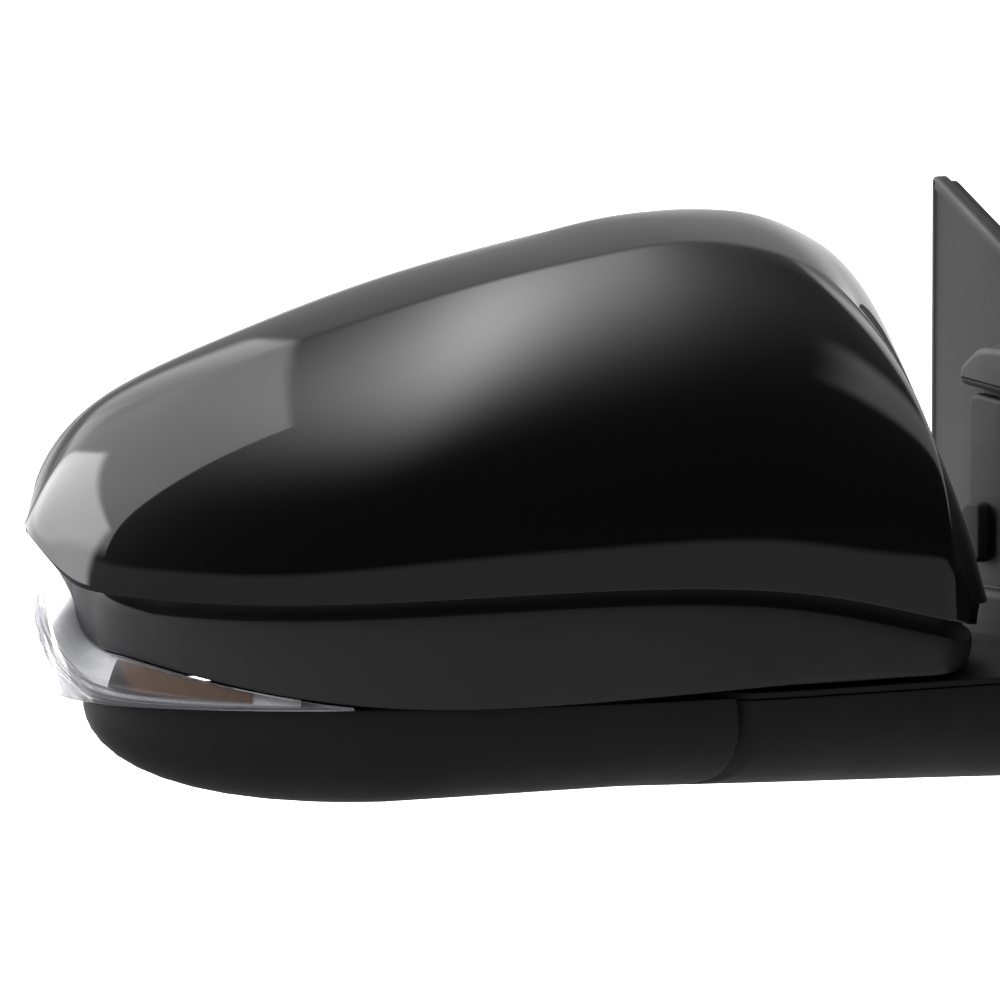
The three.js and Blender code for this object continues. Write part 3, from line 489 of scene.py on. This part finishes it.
def hull(name, inset, lift):
    rings = [hull_loop(a, inset, 0) for a in (0, 5, 10, 15, 22, 30, 38, 46, 54, 62, 70, 77, 83, 87)]
    if lift:
        rings.insert(0, hull_loop(0, inset, lift))
    return mesh_object(name, tube(rings))


def bowl(name, grow):
    """The bowl round the fold axis that parts the foot from the lower cover."""
    profile = [(30, -72), (44, -60), (53, -53), (61, -47), (67, -39), (70, -29), (70, -18)]
    knots = [[i, r, z] for i, (r, z) in enumerate(profile)]
    curve = spline(knots)
    sections = []
    for i in np.linspace(0, 6, 25):
        r, z = curve(i)
        sections.append([
            np.array([PIVOT[0] + (r + grow) * math.cos(a), (r + grow) * math.sin(a), z])
            for a in np.linspace(0, 2 * math.pi, 128, endpoint=False)
        ])
    return mesh_object(name, tube(sections))


def block(name, x0, x1, y0, y1, z0, z1):
    corners = [(x0, y0), (x1, y0), (x1, y1), (x0, y1)]
    return mesh_object(name, tube([[np.array([x, y, z]) for x, y in corners] for z in (z0, z1)]))


def make_lower_cover():
    hollow = combined(hull("hollow", WALL, 5), "DIFFERENCE", bowl("bowl_in", SPLIT + WALL))
    cover = hull("visual_lower_cover", 0, 0)
    cover = combined(cover, "DIFFERENCE", hollow)
    cover = combined(cover, "DIFFERENCE", bowl("bowl_out", SPLIT))
    cover = combined(cover, "DIFFERENCE", block("inboard", NECK_START, 40, *HULL_SIDES, HULL_UNDER, 0))
    return combined(cover, "DIFFERENCE", block("above", -330, 0, *HULL_SIDES, COVER_TOP, 0))


def foot_share(made, wall):
    """Keeps what lies inside the bowl or in the neck up to the sail."""
    inboard = SAIL_FACE - 0.4 + 4 * wall
    keep = block("neck", NECK_START - 1, inboard, *HULL_SIDES, HULL_UNDER, 10)
    keep = combined(keep, "UNION", bowl("bowl_keep", -SPLIT - wall))
    return combined(made, "INTERSECT", keep)


def make_foot_cover():
    hollow = foot_share(hull("foot_hollow", WALL, 5), WALL)
    cover = foot_share(hull("visual_foot_cover", 0, 0), 0)
    cover = combined(cover, "DIFFERENCE", hollow)
    return combined(cover, "DIFFERENCE", block("foot_above", -200, 40, *HULL_SIDES, PARTING - 3.3, 10))


# ---------- sail ----------
def door_plate(outline, back, face, radius, count=7):
    """A plate along the door, its outer edge rounded: the outline is [y, z]."""
    points = np.array(outline)
    normal = normals_of(outline)
    rings = [(back, 0.0), (face + radius, 0.0)]
    for a in np.linspace(0, math.pi / 2, count)[1:]:
        rings.append((face + radius * (1 - math.sin(a)), radius * (1 - math.cos(a))))
    return [
        [np.array([x, *(points[i] + normal[i] * inset)]) for i in range(len(points))]
        for x, inset in rings
    ]


def sail_body():
    corners = [(66, -64), (67, 101.5), (31, 81), (-22, 48), (-72, 6), (-112, -36), (-122, -64)]
    outline = rounded(corners, 4, 5)
    normal = normals_of(outline)
    rings = door_plate(outline, SAIL_BACK, SAIL_FACE, 1.2)
    slope = np.clip(normal @ np.array([0.5, -0.86]), 0, 1)
    for x, inset, more in [(SAIL_FACE, 1.7, 1.6), (SAIL_FACE + 0.5, 2.1, 1.8)]:
        rings.append([
            np.array([x, *(outline[i] + normal[i] * (inset + more * slope[i]))]) for i in range(len(outline))
        ])
    face = tube(rings)
    hood = rounded([(45, 42), (45, 47), (36, 53), (10, 53), (-14, 44), (-14, 36)], 3)
    column = rounded([(44, -40), (44, 40), (-14, 34), (-60, -10), (-66, -40)], 5)
    root = rounded([(50, -40), (47, -15), (-50, -15), (-60, -40)], 6)
    return merged(
        face,
        tube(door_plate(hood, RAISED_BACK, HOOD_FACE, 2.4)),
        tube(door_plate(column, RAISED_BACK, COLUMN_FACE, 1.6)),
        tube(door_plate(root, RAISED_BACK, ROOT_FACE, 3)),
    )


def buffer_body():
    pad = rounded([(33, -8), (40, -8), (43, -5), (43, 6), (40, 9), (33, 9)], 2.5)
    return tube(door_plate(pad, BUFFER_BACK, BUFFER_FACE, 1.2))


# ---------- materials ----------
class Nodes:
    """Adds nodes to a tree and links them."""

    def __init__(self, tree):
        self.tree = tree
        tree.nodes.clear()

    def add(self, kind, **settings):
        node = self.tree.nodes.new(kind)
        for name, value in settings.items():
            setattr(node, name, value)
        return node

    def put(self, socket, value):
        if isinstance(value, bpy.types.NodeSocket):
            self.tree.links.new(value, socket)
        else:
            socket.default_value = value

    def maths(self, operation, *values):
        node = self.add("ShaderNodeMath", operation=operation)
        for i, value in enumerate(values):
            self.put(node.inputs[i], value)
        return node.outputs[0]

    def spread(self, value, low, high, to_low, to_high, smooth=False):
        kind = "SMOOTHSTEP" if smooth else "LINEAR"
        node = self.add("ShaderNodeMapRange", interpolation_type=kind)
        for i, number in enumerate((value, low, high, to_low, to_high)):
            self.put(node.inputs[i], number)
        return node.outputs[0]

    def place(self, stretch=(1, 1, 1)):
        where = self.add("ShaderNodeTexCoord")
        mapping = self.add("ShaderNodeMapping")
        mapping.inputs["Scale"].default_value = stretch
        self.tree.links.new(where.outputs["Object"], mapping.inputs["Vector"])
        return mapping.outputs[0]

    def noise(self, scale, detail=3.0, stretch=(1, 1, 1)):
        node = self.add("ShaderNodeTexNoise")
        node.inputs["Scale"].default_value = scale
        node.inputs["Detail"].default_value = detail
        self.tree.links.new(self.place(stretch), node.inputs["Vector"])
        return node.outputs[0]

    def cells(self, scale, feature="F1"):
        node = self.add("ShaderNodeTexVoronoi", feature=feature)
        node.inputs["Scale"].default_value = scale
        self.tree.links.new(self.place(), node.inputs["Vector"])
        return node.outputs["Distance"]

    def two_colours(self, share, first, second):
        """Mixes two colours; each is a tuple or another node's socket."""
        node = self.add("ShaderNodeMix", data_type="RGBA")
        self.put(node.inputs["Factor"], share)
        sockets = [socket for socket in node.inputs if socket.type == "RGBA"]
        for socket, colour in zip(sockets, (first, second)):
            self.put(socket, (*colour, 1) if isinstance(colour, tuple) else colour)
        return [socket for socket in node.outputs if socket.type == "RGBA"][0]

    def bump(self, height, strength, distance, under=None):
        node = self.add("ShaderNodeBump")
        node.inputs["Strength"].default_value = strength
        node.inputs["Distance"].default_value = distance
        self.put(node.inputs["Height"], height)
        if under is not None:
            self.put(node.inputs["Normal"], under)
        return node.outputs[0]


def material(name, **sockets):
    """A Principled material whose uniform values are set on its own sockets."""
    made = bpy.data.materials.new(name)
    made.use_nodes = True
    nodes = Nodes(made.node_tree)
    shader = nodes.add("ShaderNodeBsdfPrincipled")
    output = nodes.add("ShaderNodeOutputMaterial")
    made.node_tree.links.new(shader.outputs[0], output.inputs[0])
    for label, value in sockets.items():
        nodes.put(shader.inputs[label.replace("_", " ")], value)
    return made, nodes, shader


def gloss_paint():
    made, nodes, shader = material("gloss_paint", Coat_Weight=1.0, Coat_IOR=1.5)
    shader.inputs["Specular IOR Level"].default_value = 0.04
    shader.inputs["Roughness"].default_value = 0.4
    flake = nodes.spread(nodes.cells(6000), 0.1, 0.7, 0, 1)
    black = nodes.two_colours(flake, (0.0016, 0.0015, 0.0019), (0.0009, 0.0009, 0.0011))
    nodes.put(shader.inputs["Base Color"], black)
    nodes.put(shader.inputs["Coat Roughness"], nodes.spread(nodes.noise(40), 0.35, 0.7, 0.008, 0.022))
    peel = nodes.bump(nodes.noise(260, 2.0), 0.02, 0.00012)
    nodes.put(shader.inputs["Coat Normal"], peel)
    return made


def moulded(name, colour, worn, rough, grain, depth, level=0.5):
    """Moulded plastic or rubber: a fine skin, patchy gloss and slightly rounded edges."""
    made, nodes, shader = material(name)
    shader.inputs["Specular IOR Level"].default_value = level
    cloud = nodes.spread(nodes.noise(18), 0.35, 0.68, 0, 1)
    nodes.put(shader.inputs["Base Color"], nodes.two_colours(cloud, colour, worn))
    nodes.put(shader.inputs["Roughness"], nodes.spread(nodes.noise(55), 0.3, 0.7, rough - 0.04, rough + 0.05))
    edge = nodes.add("ShaderNodeBevel", samples=4)
    edge.inputs["Radius"].default_value = 0.0006
    skin = nodes.bump(nodes.cells(grain), 0.35, depth, edge.outputs[0])
    fine = nodes.bump(nodes.noise(grain * 2.2, 2.0), 0.25, depth * 0.6, skin)
    nodes.put(shader.inputs["Normal"], fine)
    return made


def metal(name, colour, second, rough, scale, stretch=(1, 1, 1), depth=0.00004, shine=1.0):
    made, nodes, shader = material(name, Metallic=shine)
    streak = nodes.noise(scale, 4.0, stretch)
    mixed = nodes.two_colours(nodes.spread(streak, 0.3, 0.7, 0, 1), colour, second)
    nodes.put(shader.inputs["Base Color"], mixed)
    nodes.put(shader.inputs["Roughness"], nodes.spread(streak, 0.25, 0.75, rough - 0.07, rough + 0.1))
    nodes.put(shader.inputs["Normal"], nodes.bump(streak, 0.4, depth))
    return made


def clear_lens():
    made, nodes, shader = material("clear_lens", IOR=1.58)
    # Painted shade: the grooves between the ribs are painted near black and made more opaque, standing in for
    # the shade in them.
    groove_shade = nodes.add("ShaderNodeAttribute", attribute_name="groove_shade").outputs["Fac"]
    clear = nodes.two_colours(nodes.noise(30), (0.40, 0.41, 0.44), (0.33, 0.34, 0.37))
    nodes.put(shader.inputs["Base Color"], nodes.two_colours(groove_shade, clear, (0.07, 0.07, 0.08)))
    nodes.put(shader.inputs["Roughness"], nodes.spread(nodes.noise(90), 0.3, 0.7, 0.02, 0.06))
    rim = nodes.add("ShaderNodeLayerWeight")
    rim.inputs["Blend"].default_value = 0.35
    edge = nodes.spread(rim.outputs["Facing"], 0.12, 0.75, 0.08, 0.85)
    nodes.put(shader.inputs["Alpha"], nodes.maths("MAXIMUM", edge, nodes.maths("MULTIPLY", groove_shade, 0.7)))
    nodes.put(shader.inputs["Normal"], nodes.bump(nodes.noise(140, 1.0), 0.05, 0.0001))
    return made


def amber_guide():
    made, nodes, shader = material("amber_light_guide", IOR=1.5)
    where = nodes.add("ShaderNodeTexCoord")
    parts = nodes.add("ShaderNodeSeparateXYZ")
    nodes.tree.links.new(where.outputs["Object"], parts.inputs[0])
    amber = nodes.two_colours(nodes.noise(45, 3.0, (1, 1, 0.3)), (0.17, 0.072, 0.014), (0.09, 0.042, 0.012))
    tip = nodes.spread(parts.outputs[0], *DARK_TIP, 1, 0)
    nodes.put(shader.inputs["Base Color"], nodes.two_colours(tip, amber, (0.018, 0.015, 0.014)))
    shader.inputs["Specular IOR Level"].default_value = 0.3
    nodes.put(shader.inputs["Roughness"], nodes.spread(nodes.noise(120), 0.3, 0.7, 0.18, 0.32))
    flutes = nodes.add("ShaderNodeTexWave", wave_type="BANDS", bands_direction="X")
    flutes.inputs["Scale"].default_value = 90
    nodes.tree.links.new(nodes.place(), flutes.inputs["Vector"])
    nodes.put(shader.inputs["Normal"], nodes.bump(flutes.outputs[1], 0.3, 0.0003))
    return made


def heater_foil():
    made, nodes, shader = material("heater_foil")
    track = nodes.add("ShaderNodeTexWave", wave_type="BANDS", bands_direction="Z")
    track.inputs["Scale"].default_value = 48
    track.inputs["Distortion"].default_value = 1.5
    nodes.tree.links.new(nodes.place(), track.inputs["Vector"])
    line = nodes.spread(track.outputs[1], 0.55, 0.7, 0, 1)
    nodes.put(shader.inputs["Base Color"], nodes.two_colours(line, (0.045, 0.040, 0.035), (0.30, 0.15, 0.07)))
    nodes.put(shader.inputs["Metallic"], line)
    nodes.put(shader.inputs["Roughness"], nodes.spread(nodes.noise(70), 0.3, 0.7, 0.35, 0.6))
    return made


def mirror_silver():
    made, nodes, shader = material("mirror_glass", Metallic=1.0, Coat_Weight=1.0, Coat_Roughness=0.01)
    haze = nodes.spread(nodes.noise(9, 5.0), 0.45, 0.75, 0, 1)
    nodes.put(shader.inputs["Base Color"], nodes.two_colours(haze, (0.74, 0.78, 0.80), (0.70, 0.745, 0.77)))
    nodes.put(shader.inputs["Roughness"], nodes.spread(haze, 0, 1, 0.012, 0.035))
    return made


looks = {
    "gloss_paint": gloss_paint(),
    "satin_plastic": moulded(
        "satin_plastic", (0.016, 0.016, 0.017), (0.020, 0.020, 0.021), 0.45, 2600, 0.00003),
    "grained_plastic": moulded(
        "grained_plastic", (0.0165, 0.0165, 0.017), (0.0205, 0.0205, 0.021), 0.62, 1500, 0.00010),
    # a darker copy of the grained plastic: painted shade for the parts lying low under the head
    "painted_shade_cover_plastic": moulded(
        "painted_shade_cover_plastic", (0.0065, 0.0065, 0.007), (0.0085, 0.0085, 0.009), 0.6, 1500, 0.00009, 0.3),
    # a darker copy of the grained plastic: painted shade on the sail's column and root, where they face away
    # from the light
    "painted_shade_column_plastic": moulded(
        "painted_shade_column_plastic", (0.0035, 0.0035, 0.004), (0.005, 0.005, 0.0055), 0.55, 1500, 0.00008, 0.3),
    "seal_rubber": moulded("seal_rubber", (0.012, 0.012, 0.012), (0.017, 0.017, 0.017), 0.8, 1900, 0.00006),
    "cast_metal": metal("cast_metal", (0.50, 0.51, 0.53), (0.40, 0.41, 0.42), 0.48, 420, (1, 1, 1), 0.00012),
    "plated_steel": metal("plated_steel", (0.66, 0.66, 0.64), (0.56, 0.55, 0.50), 0.30, 260, (0.2, 0.2, 3)),
    "spring_steel": metal("spring_steel", (0.22, 0.225, 0.235), (0.15, 0.15, 0.16), 0.38, 600, (0.3, 0.3, 2)),
    "clear_lens": clear_lens(),
    "lamp_chrome": metal(
        "lamp_chrome", (0.96, 0.96, 0.97), (0.92, 0.92, 0.94), 0.25, 60, (1, 1, 0.2), 0.00003, 0.15),
    "amber_light_guide": amber_guide(),
    "gear_plastic": moulded("gear_plastic", (0.70, 0.68, 0.63), (0.62, 0.60, 0.55), 0.42, 1200, 0.00002),
    "worm_brass": metal("worm_brass", (0.75, 0.55, 0.24), (0.62, 0.43, 0.17), 0.28, 500),
    "motor_can": metal("motor_can", (0.60, 0.61, 0.63), (0.50, 0.51, 0.54), 0.33, 300, (2, 2, 0.3)),
    "heater_foil": heater_foil(),
    "mirror_glass": mirror_silver(),
}

# ---------- the pieces that are rebuilt ----------
cap = mesh_object("visual_cap", tube([cap_section(k) for k in np.linspace(1, 9, 220)]))
finish_piece(cap, looks["gloss_paint"], "head", ["cap"], 40)

band_sections = [band_section(k) for k in np.linspace(0, 11.9, 260)]
band = mesh_object("visual_trim_band", merged(tube(band_sections), floor_ring()))
finish_piece(band, looks["satin_plastic"], "head", ["trim_band"])

bezel = mesh_object("visual_rear_bezel", bezel_body())
finish_piece(bezel, looks["satin_plastic"], "head", ["rear_bezel"], 45)

lens_sheet = lamp_sheet(LAMP_START, LAMP_END, 0, 1, 0, LENS_WALL, LENS_COLUMNS, LENS_ROWS, RIB_HEIGHT)
# how deep each lens point lies in a groove, used for the painted shade in the grooves
lens_groove_shade = groove_shade_marks(LAMP_START, LAMP_END, LENS_COLUMNS, LENS_ROWS)
lens = mesh_object("visual_lamp_lens", lens_sheet, lens_groove_shade)
finish_piece(lens, looks["clear_lens"], "head", ["lamp_lens"], 50)

reflector_sheet = lamp_sheet(0.4, 4.4, 0.06, 0.92, REFLECTOR_DEPTH, REFLECTOR_WALL)
reflector = mesh_object("visual_lamp_reflector", reflector_sheet)
finish_piece(reflector, looks["lamp_chrome"], "head", ["lamp_reflector"], 50)

strip_sheet = lamp_sheet(2.9, 4.1, 0.06, 0.4, STRIP_DEPTH, STRIP_WALL)
strip = mesh_object("visual_lamp_strip", strip_sheet)
finish_piece(strip, looks["amber_light_guide"], "head", ["lamp_strip"], 50)

# the lower cover and the foot cover wear the darker copy of the grained plastic, painted shade
finish_piece(make_lower_cover(), looks["painted_shade_cover_plastic"], "head", ["lower_cover"])
finish_piece(make_foot_cover(), looks["painted_shade_cover_plastic"], "foot", ["foot_cover"])

sail = mesh_object("visual_sail_cover", sail_body())
finish_piece(sail, looks["grained_plastic"], "foot", ["sail_cover"], 45)
# painted shade: the sail's raised column and root below COLUMN_TOP take the darker copy of its plastic
second_look(sail, looks["painted_shade_column_plastic"], lambda x, y, z: x < SAIL_FACE - 0.3 and z < COLUMN_TOP)

buffer = mesh_object("visual_fold_buffer", buffer_body())
finish_piece(buffer, looks["seal_rubber"], "foot", ["fold_buffer"], 45)

mirror_pane = mesh_object("visual_mirror_glass", glass_body())
finish_piece(mirror_pane, looks["mirror_glass"], "glass", ["mirror_glass"], 30)

# ---------- the pieces carried over from the frame ----------
carried = {
    "base_bracket": "cast_metal", "head_frame": "cast_metal", "foot_top": "grained_plastic",
    "sail_seal": "seal_rubber", "harness_grommet": "seal_rubber", "stud_1": "plated_steel",
    "stud_2": "plated_steel", "stud_3": "plated_steel", "pivot_post": "plated_steel",
    "detent_ring": "plated_steel", "spring_retainer": "plated_steel", "fold_spring": "spring_steel",
    "actuator_base": "satin_plastic", "actuator_housing": "satin_plastic", "glass_carrier": "satin_plastic",
    "actuator_screw_1": "plated_steel", "actuator_screw_2": "plated_steel",
    "actuator_screw_3": "plated_steel", "gear_vertical": "gear_plastic", "gear_horizontal": "gear_plastic",
    "plunger_vertical": "gear_plastic", "plunger_horizontal": "gear_plastic", "gimbal_ring": "gear_plastic",
    "worm_vertical": "worm_brass", "worm_horizontal": "worm_brass", "motor_vertical": "motor_can",
    "motor_horizontal": "motor_can", "glass_heater": "heater_foil",
}
for node_name, slot_name in carried.items():
    # painted shade: the foot's top takes the darker copy of the grained plastic instead of its own
    look_name = "painted_shade_cover_plastic" if node_name == "foot_top" else slot_name
    carried_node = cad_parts[node_name]
    carried_node.data.materials.clear()
    carried_node.data.materials.append(looks[look_name])

# ---------- studio ----------
FLOOR_HALF, FLOOR_Z = 30.0, -0.30
PAPER_GLOW = 1.1            # how bright the camera alone sees the floor and the backdrop
floor_data = bpy.data.meshes.new("studio_floor")
floor_corners = [
    (-FLOOR_HALF, -FLOOR_HALF, FLOOR_Z), (FLOOR_HALF, -FLOOR_HALF, FLOOR_Z),
    (FLOOR_HALF, FLOOR_HALF, FLOOR_Z), (-FLOOR_HALF, FLOOR_HALF, FLOOR_Z),
]
floor_data.from_pydata(floor_corners, [], [(0, 1, 2, 3)])
floor = bpy.data.objects.new("studio_floor", floor_data)
bpy.context.scene.collection.objects.link(floor)
floor_look, floor_nodes, floor_shader = material("studio_paper", Roughness=0.9)
paper = floor_nodes.two_colours(floor_nodes.noise(3), (0.90, 0.90, 0.90), (0.88, 0.88, 0.88))
floor_nodes.put(floor_shader.inputs["Base Color"], paper)
floor_data.materials.append(floor_look)
floor_shader.inputs["Emission Color"].default_value = (1, 1, 1, 1)
floor_shader.inputs["Emission Strength"].default_value = PAPER_GLOW
floor.visible_glossy = False
floor.visible_diffuse = False


def studio_world():
    """Light by direction: azimuth 0 is in front, 90 at the door side; both angles in degrees."""
    world = bpy.data.worlds.new("studio")
    bpy.context.scene.world = world
    world.use_nodes = True
    nodes = Nodes(world.node_tree)
    where = nodes.add("ShaderNodeTexCoord")
    parts = nodes.add("ShaderNodeSeparateXYZ")
    nodes.tree.links.new(where.outputs["Generated"], parts.inputs[0])
    x, y, z = parts.outputs
    turn = nodes.maths("ARCTAN2", x, nodes.maths("MULTIPLY", y, -1))
    azimuth = nodes.maths("MULTIPLY", turn, 180 / math.pi)
    height = nodes.maths("MULTIPLY", nodes.maths("ARCSINE", z), 180 / math.pi)
    over = nodes.maths("MAXIMUM", z, 0.02)
    side = nodes.maths("DIVIDE", x, over)
    depth = nodes.maths("DIVIDE", y, over)

    def window(value, low, high, soft_low, soft_high):
        rise = nodes.spread(value, low - soft_low, low + soft_low, 0, 1, True)
        drop = nodes.spread(value, high - soft_high, high + soft_high, 1, 0, True)
        return nodes.maths("MULTIPLY", rise, drop)

    def lamp(bright, *windows):
        product = windows[0]
        for other in windows[1:]:
            product = nodes.maths("MULTIPLY", product, other)
        return nodes.maths("MULTIPLY", product, bright)

    def tilted(a, b, amount):
        return nodes.maths("ADD", a, nodes.maths("MULTIPLY", b, amount))

    behind = nodes.maths("ABSOLUTE", azimuth)

    # broad glow overhead: bell-shaped in depth, with long sides, and a little skewed
    off = nodes.maths("DIVIDE", nodes.maths("SUBTRACT", depth, 0.25), 0.46)
    bell = nodes.maths("EXPONENT", nodes.maths("MULTIPLY", nodes.maths("MULTIPLY", off, off), -1))
    skewed = nodes.maths("SUBTRACT", tilted(side, depth, -0.5), -0.025)
    wide = nodes.maths("DIVIDE", skewed, 0.17)
    tail = nodes.maths("POWER", nodes.maths("ADD", nodes.maths("MULTIPLY", wide, wide), 1), -1.3)
    # hard-edged softbox on the left of the ceiling, and the upright panel beside it
    left_of = nodes.spread(tilted(side, depth, -0.445), -0.245, -0.225, 1, 0, True)
    back_of = nodes.spread(tilted(depth, side, -0.25), 0.155, 0.175, 0, 1, True)
    slope = nodes.spread(side, 0.1, -0.6, 1.3, 2.6)
    beside = nodes.spread(tilted(depth, side, -0.76), 0.83, 0.91, 0, 1, True)
    outer = nodes.spread(side, -0.36, -0.30, 1, 0, True)
    panel = window(azimuth, -165, -86, 10, 3)
    horizon = tilted(height, nodes.maths("MINIMUM", azimuth, 40), 0.25)
    lamps = [
        lamp(5.3, bell, tail, nodes.spread(height, 15, 35, 0, 1, True)),
        lamp(1.0, left_of, back_of, slope, nodes.spread(height, 22, 32, 0, 1, True)),
        lamp(5.6, beside, outer, panel, nodes.spread(height, 3, 7, 0, 1, True)),
        # pale wall behind, and a panel at the door side
        lamp(0.28, window(behind, 128, 200, 6, 5), window(height, 8, 44, 6, 10)),
        lamp(1.3, window(azimuth, 92, 128, 4, 4), window(height, -20, 27, 6, 3)),
        lamp(0.80, window(behind, 100, 200, 8, 5), window(height, -25, 8, 6, 6)),
        lamp(0.90, window(azimuth, 66, 92, 4, 6), window(height, 8, 48, 3, 6)),
        # floor of the studio
        lamp(0.37, nodes.spread(horizon, -0.8, 2.8, 1, 0, True)),
    ]
    total = lamps[0]
    for other in lamps[1:]:
        total = nodes.maths("ADD", total, other)
    seen = nodes.add("ShaderNodeLightPath").outputs["Is Camera Ray"]
    total = nodes.maths("ADD", total, 0.04)
    lighting = nodes.maths("MULTIPLY", total, nodes.maths("SUBTRACT", 1, seen))
    strength = nodes.maths("ADD", lighting, nodes.maths("MULTIPLY", seen, PAPER_GLOW))
    background = nodes.add("ShaderNodeBackground")
    background.inputs["Color"].default_value = (1.0, 0.985, 1.0, 1)
    nodes.put(background.inputs["Strength"], strength)
    output = nodes.add("ShaderNodeOutputWorld")
    nodes.tree.links.new(background.outputs[0], output.inputs[0])


def soft_lamp(name, place, size, power):
    """An area light that falls on the object but isn't mirrored in its paint."""
    data = bpy.data.lights.new(name, "AREA")
    data.shape = "DISK"
    data.size = size
    data.energy = power
    made = bpy.data.objects.new(name, data)
    bpy.context.scene.collection.objects.link(made)
    made.location = place
    made.rotation_euler = (Vector((-0.15, 0, 0)) - Vector(place)).to_track_quat("-Z", "Y").to_euler()
    made.visible_glossy = False


studio_world()
soft_lamp("key", (-1.3, -1.0, 1.2), 1.2, 9)
soft_lamp("fill", (0.6, -1.5, 0.3), 1.2, 1.6)
soft_lamp("rear", (-0.9, 1.5, 0.8), 1.2, 9)
bpy.context.scene.view_settings.view_transform = "Standard"

# ---------- camera ----------
camera_data = bpy.data.cameras.new("camera")
camera = bpy.data.objects.new("camera", camera_data)
bpy.context.scene.collection.objects.link(camera)
CAMERA_AZIMUTH, CAMERA_RISE = math.radians(-30), math.radians(5)
CAMERA_AWAY = 1.4
VIEW_WIDTH = 0.260
target = Vector((-0.195, 0.0, 0.020))
back = Vector((
    math.sin(CAMERA_AZIMUTH) * math.cos(CAMERA_RISE),
    -math.cos(CAMERA_AZIMUTH) * math.cos(CAMERA_RISE),
    math.sin(CAMERA_RISE),
))
camera.location = target + back * CAMERA_AWAY
camera.rotation_euler = (-back).to_track_quat("-Z", "Y").to_euler()
camera_data.sensor_width = 36
camera_data.lens = 36 * CAMERA_AWAY / VIEW_WIDTH
bpy.context.scene.camera = camera
